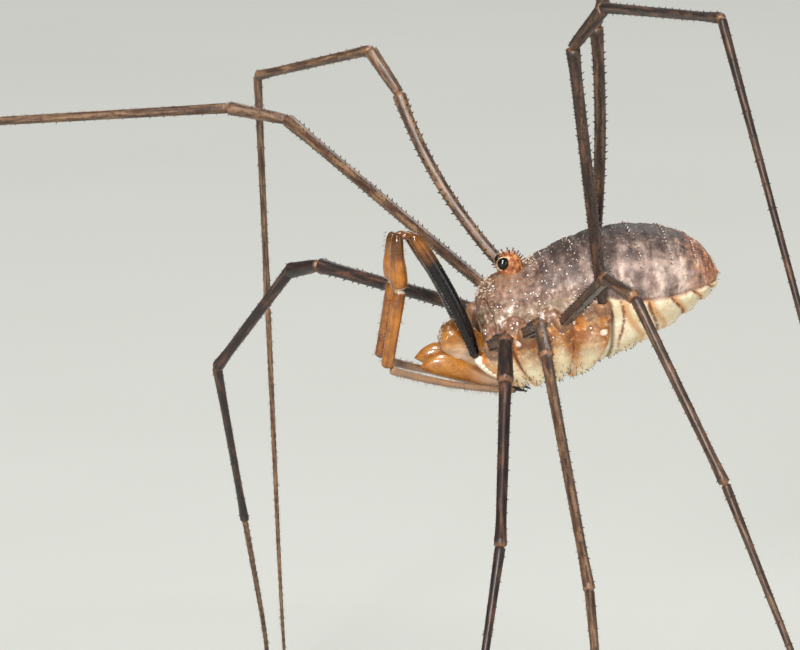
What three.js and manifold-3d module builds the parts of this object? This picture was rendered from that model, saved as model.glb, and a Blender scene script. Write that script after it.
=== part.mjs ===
// A harvestman (Phalangium opilio, male), life size, in millimetres, +Z up.
// The head points to -X and the animal's right side to +Y. It stands on z = 0.
import * as THREE from 'three';
import { mergeVertices } from 'three/addons/utils/BufferGeometryUtils.js';
import Module from 'manifold-3d';

const wasm = await Module();
wasm.setup();

// Driving dimensions
const BODY_HEIGHT = 14.5;               // middle of the body above the floor
const NOSE_DOWN = THREE.MathUtils.degToRad(15);
const ROLL = THREE.MathUtils.degToRad(6);
const GAP = 0.1;                        // between pieces that meet
const FOOT_SINK = 0.8;                  // a foot's axis lies this share of its radius above the floor
const LEG_SIDES = 8;

// Body outline in the middle plane, [x, z] from the front margin to the rear end
const BACK_LINE = [
  [-3.46, 0.7], [-3.3, 1.36], [-2.75, 1.82], [-1.82, 1.9], [-1.3, 2.12], [-0.3, 2.3],
  [0.7, 2.32], [1.8, 2.08], [2.7, 1.63], [3.3, 0.98], [3.54, 0.2],
];
const BELLY_LINE = [
  [-3.46, 0.7], [-3.36, -0.4], [-3.05, -1.0], [-2.4, -1.3], [-1.4, -1.4], [-0.3, -1.36],
  [0.7, -1.16], [1.7, -0.87], [2.6, -0.52], [3.25, -0.2], [3.54, 0.2],
];
const HALF_WIDTHS = [0, 0.95, 1.32, 1.45, 1.55, 1.68, 1.76, 1.7, 1.4, 0.86, 0];
const BODY_RINGS = 24;
const BODY_SIDES = 24;

// The seam between the carapace with its coxae and the abdomen, seen from the side: [x, z] from the
// back down behind the fourth coxae to the belly
const SEAM = [[-2.0, 2.7], [-1.6, 2.1], [0.32, 0.5], [0.5, -2]];

// Four coxae a side, fused to the belly under the carapace: inner end and outer end, for the right
const COXA_INNER = [[-2.75, 0.24, -1.4], [-2.3, 0.24, -1.5], [-1.8, 0.24, -1.5], [-1.2, 0.24, -1.42]];
const COXA_OUTER = [[-3.3, 1.2, 0.1], [-2.36, 1.48, 0.25], [-1.35, 1.58, 0.28], [-0.2, 1.66, 0.3]];
const COXA_RADIUS = 0.4;
const TROCHANTER_RADIUS = 0.3;

const TUBERCLE = [0.1, 0.055];          // height and radius
const LEAN_FORWARD = new THREE.Vector3(-0.6, 0, 0);
const LEAN_BACK = new THREE.Vector3(0.3, 0, 0);
const TERGITES = 6;

const OCULARIUM = { x: -2.2, z: 1.9, length: 0.38, width: 0.36, height: 0.5 };
const CREST = { rows: 0.13, count: 6, from: 15, to: 165, height: 0.13, radius: 0.045 };
const EYE = { x: -2.36, y: 0.3, z: 2.16, radius: 0.2 };

// Palp joints for the right side in the body's frame, and the radii of its articles
const PALP = {
  hip: [-3.8, 0.95, -0.29],
  thighBow: [-3.92, 0.97, 1.65],        // bends the femur's middle back by about 0.2
  knee: [-4.72, 0.64, 3.7],
  patella: [-5.2, 0.62, 3.93],
  shin: [-5.43, 0.62, 2.42],
  ankle: [-6.36, 0.62, 0.42],
  footRoot: [-6.26, 0.62, 0.16],
  footBow: [-4.72, 0.7, -0.8],
  tip: [-2.96, 0.6, -1.45],
};
const PALP_RADIUS = 0.24;
const PALP_FOOT_RADII = [0.18, 0.12];
const ROOM_LENGTH = 3;                  // of a femur's root kept clear of the trunk
const CHELICERA_Y = 0.37;

// Legs: article lengths of femur, patella, tibia, metatarsus and tarsus, by pair
const LEG_LENGTHS = [
  [5.4, 1.5, 5.2, 6.5, 11], [10.3, 1.9, 9.2, 10.5, 19],
  [7.3, 1.6, 6.0, 8.5, 15.5], [8.1, 1.8, 7.8, 12, 17],
];
const LEG_ARTICLES = ['femur', 'patella', 'tibia', 'metatarsus'];
// Radius at the start and at the end of each of those articles, then of the tarsus
const LEG_RADII = [[0.25, 0.28], [0.25, 0.29], [0.25, 0.25], [0.24, 0.22]];
const TARSUS_RADII = [0.2, 0.12];
const TARSUS_STEPS = 11;
const FEMUR_SPINES = { rows: 4, spacing: 1.1, height: 0.12, radius: 0.06 };
const PALP_SPINES = { rows: 3, count: 7, height: 0.07, radius: 0.055 };

// The pose: [yaw, pitch] in degrees of each article, then the yaw of the foot on the floor.
// A swing turns the trochanter forward (-) or back (+) from its half-way direction.
// A bow bends the femur's middle sideways, in millimetres.
const POSE = {
  right_1: { turns: [[140, 13], [118, -12], [117, -40], [72, -54]], foot: 110 },
  right_2: { turns: [[126, 26], [150, 8], [155, -5], [145, -58]], foot: 135 },
  right_3: { turns: [[134.6, 48.3], [134.6, 48], [118, -12], [80, -62]], foot: 75, swing: -2, bow: [-0.26, 0, -0.18] },
  right_4: { turns: [[-96, 69], [-50, 70], [25, -4], [35, -66]], foot: 30, swing: 1.6, bow: [0.19, 0, 0] },
  left_1: { turns: [[-94, 9], [-98, -40], [-100, -50], [-112, -58]], foot: -125 },
  left_2: { turns: [[-96, 9], [-93, -18], [-90, -32], [-92, -46]], foot: -100 },
  left_3: { turns: [[-89, 17], [-68, -12], [-60, -50], [-48, -62]], foot: -40 },
  left_4: { turns: [[-116, 69], [-59, 42], [-75, 3], [-64, -64]], foot: -75 },
};

const COLOURS = {
  carapace: 0x9c7a5e, abdomen: 0x6f5a50, ocularium: 0xb4652a, eye: 0x0a0808,
  orange: 0xc07030, femur: 0x2a1a14, leg: 0x4a3226, palpFemur: 0x120c0a,
};

const SIDES = [['left', -1], ['right', 1]];
const UP = new THREE.Vector3(0, 1, 0);

// A seeded draw between 0 and 1
let seed = 7;
function random() {
  seed = (seed * 16807) % 2147483647;
  return seed / 2147483647;
}

const vec = (a) => new THREE.Vector3(a[0], a[1], a[2]);
const mirrored = (a, side) => [a[0], a[1] * side, a[2]];

function finish(colour, roughness = 0.5) {
  return new THREE.MeshStandardMaterial({ color: colour, roughness, metalness: 0 });
}

// A geometry with shared vertices merged and triangles without area dropped
function welded(geometry) {
  const bare = geometry.clone();
  bare.deleteAttribute('normal');
  bare.deleteAttribute('uv');
  const merged = mergeVertices(bare, 1e-4);
  const kept = [];
  const index = merged.index.array;
  for (let i = 0; i < index.length; i += 3) {
    const [a, b, c] = [index[i], index[i + 1], index[i + 2]];
    if (a !== b && b !== c && c !== a) kept.push(a, b, c);
  }
  merged.setIndex(kept);
  return merged;
}

function toSolid(geometry) {
  const merged = welded(geometry);
  return new wasm.Manifold(new wasm.Mesh({
    numProp: 3,
    vertProperties: new Float32Array(merged.attributes.position.array),
    triVerts: new Uint32Array(merged.index.array),
  }));
}

// The largest closed body of a solid, as a geometry
function fromSolid(solid) {
  const bodies = solid.decompose();
  const largest = bodies.reduce((a, b) => (a.volume() > b.volume() ? a : b));
  const mesh = largest.getMesh();
  const geometry = new THREE.BufferGeometry();
  geometry.setAttribute('position', new THREE.BufferAttribute(mesh.vertProperties, 3));
  geometry.setIndex(new THREE.BufferAttribute(mesh.triVerts, 1));
  return geometry;
}

function fuse(geometries) {
  return geometries.map(toSolid).reduce((a, b) => a.add(b));
}

function deform(geometry, change) {
  const position = geometry.attributes.position;
  const point = new THREE.Vector3();
  for (let i = 0; i < position.count; i += 1) {
    point.fromBufferAttribute(position, i);
    change(point);
    position.setXYZ(i, point.x, point.y, point.z);
  }
  return geometry;
}

const spline = (pairs) => new THREE.SplineCurve(pairs.map((p) => new THREE.Vector2(p[0], p[1])));

// A surface of oval rings, as a function of the share of the way along and of the angle around.
// Each ring joins a point of the upper line to one of the lower line. 90 degrees is up.
function ovalSurface(upper, lower, halfWidths) {
  const top = spline(upper);
  const bottom = spline(lower);
  const width = spline(halfWidths.map((w, i) => [i / (halfWidths.length - 1), w]));
  return (along, around) => {
    const high = top.getPoint(along);
    const low = bottom.getPoint(along);
    const half = Math.max(width.getPoint(along).y, 0);
    const rise = (1 + Math.sin(around)) / 2;
    const x = THREE.MathUtils.lerp(low.x, high.x, rise);
    const z = THREE.MathUtils.lerp(low.y, high.y, rise);
    return new THREE.Vector3(x, half * Math.cos(around), z);
  };
}

// A closed body with that surface
function loft(surface, rings, sides) {
  return deform(new THREE.SphereGeometry(1, sides, rings), (p) => {
    const along = Math.acos(THREE.MathUtils.clamp(p.y, -1, 1)) / Math.PI;
    const pole = p.y * p.y > 0.9999999;
    p.copy(surface(along, pole ? 0 : Math.atan2(p.z, p.x)));
  });
}

// A spike of few sides that stands on a point, its root sunk by a third of its height
function spike(at, way, height, radius, sides = 4) {
  const cone = new THREE.ConeGeometry(radius, height * 4 / 3, sides);
  cone.translate(0, height / 3, 0);
  cone.applyQuaternion(new THREE.Quaternion().setFromUnitVectors(UP, way.clone().normalize()));
  return cone.translate(at.x, at.y, at.z);
}

// Spikes on an oval surface at [along, degrees around], leaning towards a way
function spikesOn(surface, places, height, radius, lean) {
  const step = 0.01;
  return places.map(([along, degrees]) => {
    const around = THREE.MathUtils.degToRad(degrees);
    const at = surface(along, around);
    const forward = surface(along + step, around).sub(surface(along - step, around));
    const sideways = surface(along, around + step).sub(surface(along, around - step));
    const normal = forward.cross(sideways).normalize();
    return spike(at, normal.addScaledVector(lean, 1), height * (0.8 + 0.4 * random()), radius);
  });
}

// A round article standing on the origin along +Y, with rounded ends and some rings between them
function articleGeometry(length, radii, sides = LEG_SIDES, bulge = 0, rings = 1) {
  const [start, end] = radii;
  const profile = [new THREE.Vector2(0, 0)];
  const stations = [0.3, 0.85];
  for (const s of stations) profile.push(new THREE.Vector2(start * Math.sqrt(1 - (1 - s) ** 2), start * s));
  for (let i = 1; i <= rings; i += 1) {
    const t = i / (rings + 1);
    profile.push(new THREE.Vector2(THREE.MathUtils.lerp(start, end, t) + bulge, length * t));
  }
  for (const s of [...stations].reverse()) {
    profile.push(new THREE.Vector2(end * Math.sqrt(1 - (1 - s) ** 2), length - end * s));
  }
  profile.push(new THREE.Vector2(0, length));
  return new THREE.LatheGeometry(profile, sides);
}

// The same article laid from one point to another
function articleBetween(from, to, radii, sides, bulge) {
  const way = to.clone().sub(from);
  const geometry = articleGeometry(way.length(), radii, sides, bulge);
  geometry.applyQuaternion(new THREE.Quaternion().setFromUnitVectors(UP, way.normalize()));
  return geometry.translate(from.x, from.y, from.z);
}

// A tapered round tube along a curve, with a rounded tip
function tubeAlong(curve, radii, sides, steps) {
  const length = curve.getLength();
  const profile = [new THREE.Vector2(0, 0)];
  for (let i = 0; i <= steps; i += 1) {
    const t = i / steps;
    const radius = THREE.MathUtils.lerp(radii[0], radii[1], t);
    profile.push(new THREE.Vector2(radius, THREE.MathUtils.lerp(0.1, length - radii[1], t)));
  }
  profile.push(new THREE.Vector2(0, length));
  const across = new THREE.Vector3();
  return deform(new THREE.LatheGeometry(profile, sides), (p) => {
    const t = THREE.MathUtils.clamp(p.y / length, 0, 1);
    const forward = curve.getTangentAt(t);
    const side = across.set(-forward.y, forward.x, 0).normalize().clone();
    const above = new THREE.Vector3().crossVectors(side, forward);
    const centre = curve.getPointAt(t);
    const [x, z] = [p.x, p.z];
    p.copy(centre).addScaledVector(side, x).addScaledVector(above, z);
  });
}

// Rows of small spines on a round article along a curve, leaning to its far end
function spinesAlong(curve, { rows, count, height, radius }, articleRadius) {
  const spines = [];
  for (let row = 0; row < rows; row += 1) {
    const angle = (row + 0.5) * 2 * Math.PI / rows;
    for (let i = 0; i < count; i += 1) {
      const t = (i + 0.8 + 0.5 * (row % 2)) / (count + 0.9);
      const forward = curve.getTangentAt(t);
      const side = new THREE.Vector3(-forward.y, forward.x, 0.001).normalize();
      const above = new THREE.Vector3().crossVectors(forward, side);
      const out = side.multiplyScalar(Math.cos(angle)).addScaledVector(above, Math.sin(angle));
      const at = curve.getPointAt(t).addScaledVector(out, articleRadius * 0.97);
      spines.push(spike(at, out.addScaledVector(forward, 0.5), height, radius, 3));
    }
  }
  return spines;
}

function direction(yaw, pitch) {
  const [y, p] = [THREE.MathUtils.degToRad(yaw), THREE.MathUtils.degToRad(pitch)];
  return new THREE.Vector3(Math.cos(y) * Math.cos(p), Math.sin(y) * Math.cos(p), Math.sin(p));
}

// How far an article with a round end stays back from a joint that turns by the angle between two ways
function setBack(radius, before, after) {
  const half = before.angleTo(after) / 2;
  return (radius + GAP / 2) / Math.cos(half) - radius;
}

const model = new THREE.Group();
const body = new THREE.Group();
body.position.set(0, 0, BODY_HEIGHT);
body.rotation.set(ROLL, -NOSE_DOWN, 0, 'YXZ');
body.updateMatrix();
model.add(body);

function addNode(parent, name, geometry, material) {
  const mesh = new THREE.Mesh(geometry, material);
  mesh.name = name;
  parent.add(mesh);
  return mesh;
}

// Carapace with the coxae, and the abdomen, are one form parted along a seam: all that lies behind it
function behindSeam(offset) {
  const size = 10;
  const outline = new THREE.Shape(SEAM.map(([x, z]) => new THREE.Vector2(x + offset, z)));
  outline.lineTo(size, -2);
  outline.lineTo(size, SEAM[0][1]);
  const slab = new THREE.ExtrudeGeometry(outline, { depth: size, bevelEnabled: false });
  return slab.rotateX(Math.PI / 2).translate(0, size / 2, 0);
}

// Tubercles of the carapace: a row along the front margin, and a band behind the eyes
function carapacePlaces() {
  const places = [];
  for (let i = 0; i <= 8; i += 1) places.push([0.1 + 0.03 * Math.abs(i - 4) / 4, 50 + 10 * i]);
  for (let i = 0; i <= 5; i += 1) places.push([0.17 + 0.02 * (i % 2), i < 3 ? 28 + 14 * i : 68 + 14 * i]);
  for (let i = 0; i <= 6; i += 1) places.push([0.335, 48 + 14 * i]);
  return places;
}

// One row of tubercles across each of the abdomen's plates
function tergitePlaces() {
  const places = [];
  for (let row = 0; row < TERGITES; row += 1) {
    const along = 0.44 + 0.085 * row;
    for (let i = 0; i <= 6; i += 1) places.push([along, 42 + 16 * i]);
  }
  return places;
}

function coxa(index, side) {
  const inner = vec(mirrored(COXA_INNER[index], side));
  const outer = vec(mirrored(COXA_OUTER[index], side));
  return articleBetween(inner, outer, [COXA_RADIUS * 0.7, COXA_RADIUS], 10, 0.04);
}

// The middle of a trochanter: past its coxa's end, half way towards the femur's way
function hipJoint(name, side, pair) {
  const coxaEnd = vec(mirrored(COXA_OUTER[pair], side)).applyMatrix4(body.matrix);
  const coxaStart = vec(mirrored(COXA_INNER[pair], side)).applyMatrix4(body.matrix);
  const outward = coxaEnd.clone().sub(coxaStart).normalize();
  const { turns, swing = 0 } = POSE[`${name}_${pair + 1}`];
  outward.add(direction(...turns[0])).add(new THREE.Vector3(swing, 0, 0)).normalize();
  return coxaEnd.addScaledVector(outward, TROCHANTER_RADIUS + GAP);
}

// Room round each trochanter, the femur's root and the palp's hip, cut out of the trunk
function hipRooms() {
  const toBody = body.matrix.clone().invert();
  const rooms = [];
  for (const [name, side] of SIDES) {
    for (let pair = 0; pair < 4; pair += 1) {
      const hip = hipJoint(name, side, pair);
      const along = direction(...POSE[`${name}_${pair + 1}`].turns[0]).multiplyScalar(ROOM_LENGTH);
      const out = hip.clone().add(along).applyMatrix4(toBody);
      const at = hip.applyMatrix4(toBody);
      const radius = LEG_RADII[0][0] + GAP;
      rooms.push(new THREE.SphereGeometry(TROCHANTER_RADIUS + GAP, 12, 8).translate(at.x, at.y, at.z));
      rooms.push(articleBetween(at, out, [radius, radius], 12));
    }
    const palp = vec(mirrored(PALP.hip, side));
    rooms.push(new THREE.SphereGeometry(PALP_RADIUS + GAP, 12, 8).translate(palp.x, palp.y, palp.z));
    rooms.push(palpTarsus(side, GAP), claw(side, GAP));
  }
  return fuse(rooms);
}

function buildTrunk() {
  const surface = ovalSurface(BACK_LINE, BELLY_LINE, HALF_WIDTHS);
  const whole = toSolid(loft(surface, BODY_RINGS, BODY_SIDES));
  const coxae = [];
  for (const side of [-1, 1]) {
    for (let i = 0; i < 4; i += 1) coxae.push(coxa(i, side));
  }
  const rooms = hipRooms();
  const eyeStalk = toSolid(ocularium(GAP));
  const carapace = whole.add(fuse([...coxae, ...spikesOn(surface, carapacePlaces(), ...TUBERCLE, LEAN_FORWARD)]));
  const saddle = whole.add(fuse(spikesOn(surface, tergitePlaces(), ...TUBERCLE, LEAN_BACK)));
  const front = carapace.subtract(toSolid(behindSeam(-GAP * 0.7))).subtract(rooms).subtract(eyeStalk);
  const abdomen = saddle.intersect(toSolid(behindSeam(GAP * 0.7))).subtract(rooms);
  addNode(body, 'prosoma', fromSolid(front), finish(COLOURS.carapace, 0.6));
  addNode(body, 'opisthosoma', fromSolid(abdomen), finish(COLOURS.abdomen, 0.6));
}

function ocularium(grow) {
  const { x, z, length, width, height } = OCULARIUM;
  const dome = new THREE.SphereGeometry(1, 16, 10);
  dome.rotateX(Math.PI / 2);
  dome.scale(length + grow, width + grow, height + grow);
  return dome.translate(x, 0, z);
}

function eyeball(side, grow) {
  const ball = new THREE.SphereGeometry(EYE.radius + grow, 12, 8);
  return ball.translate(EYE.x, EYE.y * side, EYE.z);
}

// Two rows of spikes over the ocularium, from its front to its back
function crest() {
  const { x, z, length, height } = OCULARIUM;
  const spikes = [];
  for (const side of [-1, 1]) {
    for (let i = 0; i < CREST.count; i += 1) {
      const t = i / (CREST.count - 1);
      const angle = THREE.MathUtils.degToRad(THREE.MathUtils.lerp(CREST.from, CREST.to, t));
      const inset = Math.sqrt(1 - (CREST.rows / OCULARIUM.width) ** 2);
      const [along, up] = [-Math.cos(angle), Math.sin(angle)];
      const at = new THREE.Vector3(x + along * length * inset, CREST.rows * side, z + up * height * inset);
      spikes.push(spike(at, new THREE.Vector3(along * 0.8 - 0.2, side * 0.2, up), CREST.height, CREST.radius));
    }
  }
  return fuse(spikes);
}

function buildEyes() {
  const sockets = [-1, 1].map((side) => eyeball(side, GAP / 2));
  const dome = toSolid(ocularium(0)).add(crest()).subtract(fuse(sockets));
  addNode(body, 'ocularium', fromSolid(dome), finish(COLOURS.ocularium));
  addNode(body, 'eye_left', eyeball(-1, 0), finish(COLOURS.eye, 0.1));
  addNode(body, 'eye_right', eyeball(1, 0), finish(COLOURS.eye, 0.1));
}

// The first cheliceral article reaches forward, the second hangs from it with horn and claws
const BASE_UPPER = [[-4.74, 0.46], [-4.6, 0.78], [-4.22, 0.97], [-3.85, 0.82], [-3.6, 0.3]];
const BASE_LOWER = [[-4.74, 0.46], [-4.6, 0.3], [-4.22, -0.02], [-3.85, -0.22], [-3.6, 0.3]];
const BASE_HALF_WIDTHS = [0, 0.27, 0.31, 0.28, 0];
const HAND_UPPER = [[-5.46, -0.06], [-5.1, 0.08], [-4.74, 0.14], [-4.3, -0.18], [-3.7, -0.64], [-3.25, -1.06]];
const HAND_LOWER = [[-5.46, -0.06], [-5.3, -0.24], [-4.72, -0.58], [-4.1, -0.93], [-3.6, -1.17], [-3.25, -1.24]];
const HAND_HALF_WIDTHS = [0, 0.14, 0.27, 0.31, 0.24, 0];
const BASE_KNOBS = [[0.12, 90], [0.25, 60], [0.25, 120], [0.42, 75], [0.42, 105], [0.58, 90]];
const CLAW = { from: [-3.5, -1.06], to: [-2.56, -1.57], radii: [0.11, 0.05], inward: 0.75 };

function claw(side, grow) {
  const { from, to, radii, inward } = CLAW;
  const root = new THREE.Vector3(from[0], CHELICERA_Y * side, from[1]);
  const tip = new THREE.Vector3(to[0], CHELICERA_Y * side * inward, to[1]);
  return articleBetween(root, tip, radii.map((r) => r + grow), 8);
}

function buildChelicera(name, side) {
  const baseSurface = ovalSurface(BASE_UPPER, BASE_LOWER, BASE_HALF_WIDTHS);
  const knobs = spikesOn(baseSurface, BASE_KNOBS, ...TUBERCLE, LEAN_FORWARD);
  const baseSolid = fuse([loft(baseSurface, 10, 12), ...knobs]);
  const base = fromSolid(baseSolid).translate(0, CHELICERA_Y * side, 0);
  const handSurface = ovalSurface(HAND_UPPER, HAND_LOWER, HAND_HALF_WIDTHS);
  const hand = loft(handSurface, 12, 12).translate(0, CHELICERA_Y * side, 0);
  addNode(body, `chelicera_base_${name}`, base, finish(COLOURS.orange, 0.35));
  addNode(body, `chelicera_hand_${name}`, fromSolid(fuse([hand, claw(side, 0)])), finish(COLOURS.orange, 0.35));
}

function buildPalp(name, side) {
  const at = Object.fromEntries(Object.entries(PALP).map(([key, p]) => [key, vec(mirrored(p, side))]));
  const thigh = new THREE.QuadraticBezierCurve3(at.hip, at.thighBow, at.knee);
  const warts = spinesAlong(thigh, PALP_SPINES, PALP_RADIUS);
  const femur = fuse([tubeAlong(thigh, [PALP_RADIUS, PALP_RADIUS], 10, 8), ...warts]);
  addNode(body, `palp_${name}_femur`, fromSolid(femur), finish(COLOURS.palpFemur, 0.3));
  const straight = { patella: [at.patella, at.shin, [0.2, 0.28]], tibia: [at.shin, at.ankle, [0.26, 0.24]] };
  for (const [article, [from, to, radii]] of Object.entries(straight)) {
    const way = to.clone().sub(from).normalize().multiplyScalar(GAP / 2);
    const geometry = articleBetween(from.clone().add(way), to.clone().sub(way), radii, 10);
    addNode(body, `palp_${name}_${article}`, geometry, finish(COLOURS.orange, 0.3));
  }
  addNode(body, `palp_${name}_tarsus`, palpTarsus(side, 0), finish(COLOURS.orange, 0.3));
}

// The palp's tarsus is folded back under the mouth
function palpTarsus(side, grow) {
  const [root, bow, tip] = ['footRoot', 'footBow', 'tip'].map((key) => vec(mirrored(PALP[key], side)));
  const radii = PALP_FOOT_RADII.map((r) => r + grow);
  return tubeAlong(new THREE.QuadraticBezierCurve3(root, bow, tip), radii, 8, 8);
}

// A femur along +Y with its trochanter and its rows of spines, bowed sideways by an offset
function legFemur(length, bow) {
  const [first] = LEG_RADII[0];
  const rings = bow.length() > 0 ? 5 : 1;
  const shaft = articleGeometry(length, LEG_RADII[0], LEG_SIDES, 0, rings);
  const globe = new THREE.SphereGeometry(TROCHANTER_RADIUS, 8, 6);
  const axis = new THREE.LineCurve3(new THREE.Vector3(), new THREE.Vector3(0, length, 0));
  const count = Math.round(length / FEMUR_SPINES.spacing);
  const spines = spinesAlong(axis, { ...FEMUR_SPINES, count }, first);
  return deform(fromSolid(fuse([shaft, globe, ...spines])), (p) => {
    const t = THREE.MathUtils.clamp(p.y / length, 0, 1);
    p.addScaledVector(bow, 4 * t * (1 - t));
  });
}

function buildLeg(name, side, pair) {
  const { turns, foot, bow = [0, 0, 0] } = POSE[`${name}_${pair + 1}`];
  const prefix = `leg_${name}_${pair + 1}`;
  const ways = turns.map(([yaw, pitch]) => direction(yaw, pitch));
  const joint = hipJoint(name, side, pair);
  LEG_ARTICLES.forEach((article, i) => {
    const way = ways[i];
    const [first, last] = LEG_RADII[i];
    const back = i === 0 ? 0 : setBack(first, ways[i - 1], way);
    const next = i === ways.length - 1 ? way : ways[i + 1];
    const length = LEG_LENGTHS[pair][i] - back - setBack(last, way, next);
    const turn = new THREE.Quaternion().setFromUnitVectors(UP, way);
    let geometry = articleGeometry(length, LEG_RADII[i]);
    if (i === 0) geometry = legFemur(length, vec(bow).applyQuaternion(turn.clone().invert()));
    const node = addNode(model, `${prefix}_${article}`, geometry, finish(i === 0 ? COLOURS.femur : COLOURS.leg));
    node.position.copy(joint).addScaledVector(way, back);
    node.quaternion.copy(turn);
    joint.addScaledVector(way, LEG_LENGTHS[pair][i]);
  });
  addNode(model, `${prefix}_tarsus`, tarsus(joint, ways[3], foot, LEG_LENGTHS[pair][4]), finish(COLOURS.leg));
}

// The tarsus keeps the metatarsus's way, bends above the floor and lies flat on it to its tip
function tarsus(ankle, way, footYaw, length) {
  const level = TARSUS_RADII[1] * FOOT_SINK;
  const start = ankle.clone().addScaledVector(way, GAP / 2);
  const slope = (start.z - level) / -way.z;
  const touch = start.clone().addScaledVector(way, slope);
  const rest = length - slope;
  const onFloor = direction(footYaw, 0);
  const bendStart = start.clone().lerp(touch, 0.45);
  const bendEnd = touch.clone().addScaledVector(onFloor, rest * 0.45);
  const tip = touch.clone().addScaledVector(onFloor, rest);
  const path = new THREE.CurvePath();
  path.add(new THREE.LineCurve3(start, bendStart));
  path.add(new THREE.QuadraticBezierCurve3(bendStart, touch, bendEnd));
  path.add(new THREE.LineCurve3(bendEnd, tip));
  const tube = tubeAlong(path, TARSUS_RADII, 6, TARSUS_STEPS);
  return deform(tube, (p) => {
    p.z = Math.max(p.z, 0);
  });
}

buildTrunk();
buildEyes();
for (const [name, side] of SIDES) {
  buildChelicera(name, side);
  buildPalp(name, side);
  for (let pair = 0; pair < 4; pair += 1) buildLeg(name, side, pair);
}

// The origin is on the floor under the middle of the whole
const box = new THREE.Box3().setFromObject(model);
const middle = box.getCenter(new THREE.Vector3());
model.position.set(-middle.x, -middle.y, 0);

export default model;
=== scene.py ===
# %% [markdown]
# # A harvestman, life size
#
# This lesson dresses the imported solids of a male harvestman. The animal's body is 7 mm long and stands
# on eight thread-thin legs. Its outside is one hard skin with joints, so every piece here is a
# surface worked out with numpy in millimetres, and turned and moved to its place at the very end.
# The frame comes first, because each piece is measured from it.

# %% Load the frame
import bpy
import numpy as np
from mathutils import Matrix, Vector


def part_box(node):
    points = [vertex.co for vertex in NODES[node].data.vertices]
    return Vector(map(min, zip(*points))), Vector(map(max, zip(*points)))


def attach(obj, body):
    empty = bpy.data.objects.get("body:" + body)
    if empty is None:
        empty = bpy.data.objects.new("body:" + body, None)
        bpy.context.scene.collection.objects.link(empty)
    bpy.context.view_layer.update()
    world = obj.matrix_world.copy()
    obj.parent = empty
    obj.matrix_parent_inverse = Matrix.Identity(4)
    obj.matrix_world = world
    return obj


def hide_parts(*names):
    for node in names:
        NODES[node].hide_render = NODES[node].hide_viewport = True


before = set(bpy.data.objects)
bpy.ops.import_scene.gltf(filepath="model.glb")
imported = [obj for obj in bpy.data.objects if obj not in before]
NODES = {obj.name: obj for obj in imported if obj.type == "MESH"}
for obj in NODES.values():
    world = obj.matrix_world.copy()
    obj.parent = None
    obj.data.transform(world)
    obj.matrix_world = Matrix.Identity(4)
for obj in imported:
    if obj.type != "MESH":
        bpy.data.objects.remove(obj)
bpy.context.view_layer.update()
MM = 0.001
print("nodes in the frame:", len(NODES))

# %% [markdown]
# ## Where the body stands
#
# The solids tilt the nose down by 15 degrees and roll the body by 6. The body's own axes are easier to
# think in: x runs from head to tail, y to the animal's right and z up its back. The near eye is a ball
# whose place is known in both sets of axes, so it tells where the body's middle is.

# %% The body's own axes
NOSE_DOWN, ROLL = np.radians(15.0), np.radians(6.0)
EYE = np.array([-2.36, -0.3, 2.16])


def turned(angle, first, second):
    """Rotation by an angle in the plane of two axes, from the first to the second."""
    matrix = np.eye(3)
    matrix[[first, second], [first, second]] = np.cos(angle)
    matrix[second, first], matrix[first, second] = np.sin(angle), -np.sin(angle)
    return matrix


BODY_TURN = turned(NOSE_DOWN, 0, 2) @ turned(ROLL, 1, 2)
EYE_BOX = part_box("eye_left")
BODY_MIDDLE = np.array((EYE_BOX[0] + EYE_BOX[1]) / 2) / MM - BODY_TURN @ EYE
print("middle of the body in mm:", BODY_MIDDLE.round(3))


def out_of_body(points):
    """Points in the body's axes, turned and moved into the part's axes."""
    return np.asarray(points, float) @ BODY_TURN.T + BODY_MIDDLE


def on_body(part):
    """A whole part, turned and moved likewise."""
    return {**part, "points": out_of_body(part["points"])}


# %% [markdown]
# ## Curves and grids
#
# Three shapes make the whole animal: an oval body between two outlines, a round article carried
# along a path, and a small pointed form repeated over a surface. Each is a formula on a grid of two
# parameters. A Catmull-Rom curve passes through its knots, so an outline can be given by a few points.

# %% Curve through knots


def unit(vectors):
    """Vectors divided by their own length."""
    return vectors / np.maximum(np.linalg.norm(vectors, axis=-1, keepdims=True), 1e-12)


def smooth(low, high, x):
    """Goes from 0 at low to 1 at high with a soft start and end."""
    t = np.clip((x - low) / (high - low), 0, 1)
    return t * t * (3 - 2 * t)


def circle(count):
    """Evenly spaced angles round a circle."""
    return np.linspace(0, 2 * np.pi, count, endpoint=False)


def through(knots, t):
    """Catmull-Rom curve: between two knots it is the cubic whose slope at a knot is half the chord from
    the knot before to the knot after."""
    knots = np.asarray(knots, float)
    last = len(knots) - 1
    place = np.clip(np.asarray(t, float), 0, 1) * last
    i = np.minimum(place.astype(int), last - 1)
    w = (place - i)[..., None]
    a, b = knots[i], knots[i + 1]
    before, after = knots[np.maximum(i - 1, 0)], knots[np.minimum(i + 2, last)]
    slope_a, slope_b = (b - before) / 2, (after - a) / 2
    cubic = (2 * a - 2 * b + slope_a + slope_b) * w + (3 * b - 3 * a - 2 * slope_a - slope_b)
    return (cubic * w + slope_a) * w + a


def level(knots, t):
    """The same curve for plain numbers."""
    return through(np.asarray(knots, float)[:, None], t)[..., 0]


def oval(upper, lower, widths, along, around):
    """Each ring joins a point of the upper outline to one of the lower: the share of the way up is
    (1 + sin around) / 2, and the sideways distance is the half width times cos around."""
    high, low = through(upper, along), through(lower, along)
    half = np.maximum(level(widths, along), 0)
    rise = ((1 + np.sin(around)) / 2)[..., None]
    middle = low + (high - low) * rise
    return np.stack([middle[..., 0], half * np.cos(around), middle[..., 1]], -1)


# %% A part is points, faces and marks


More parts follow.
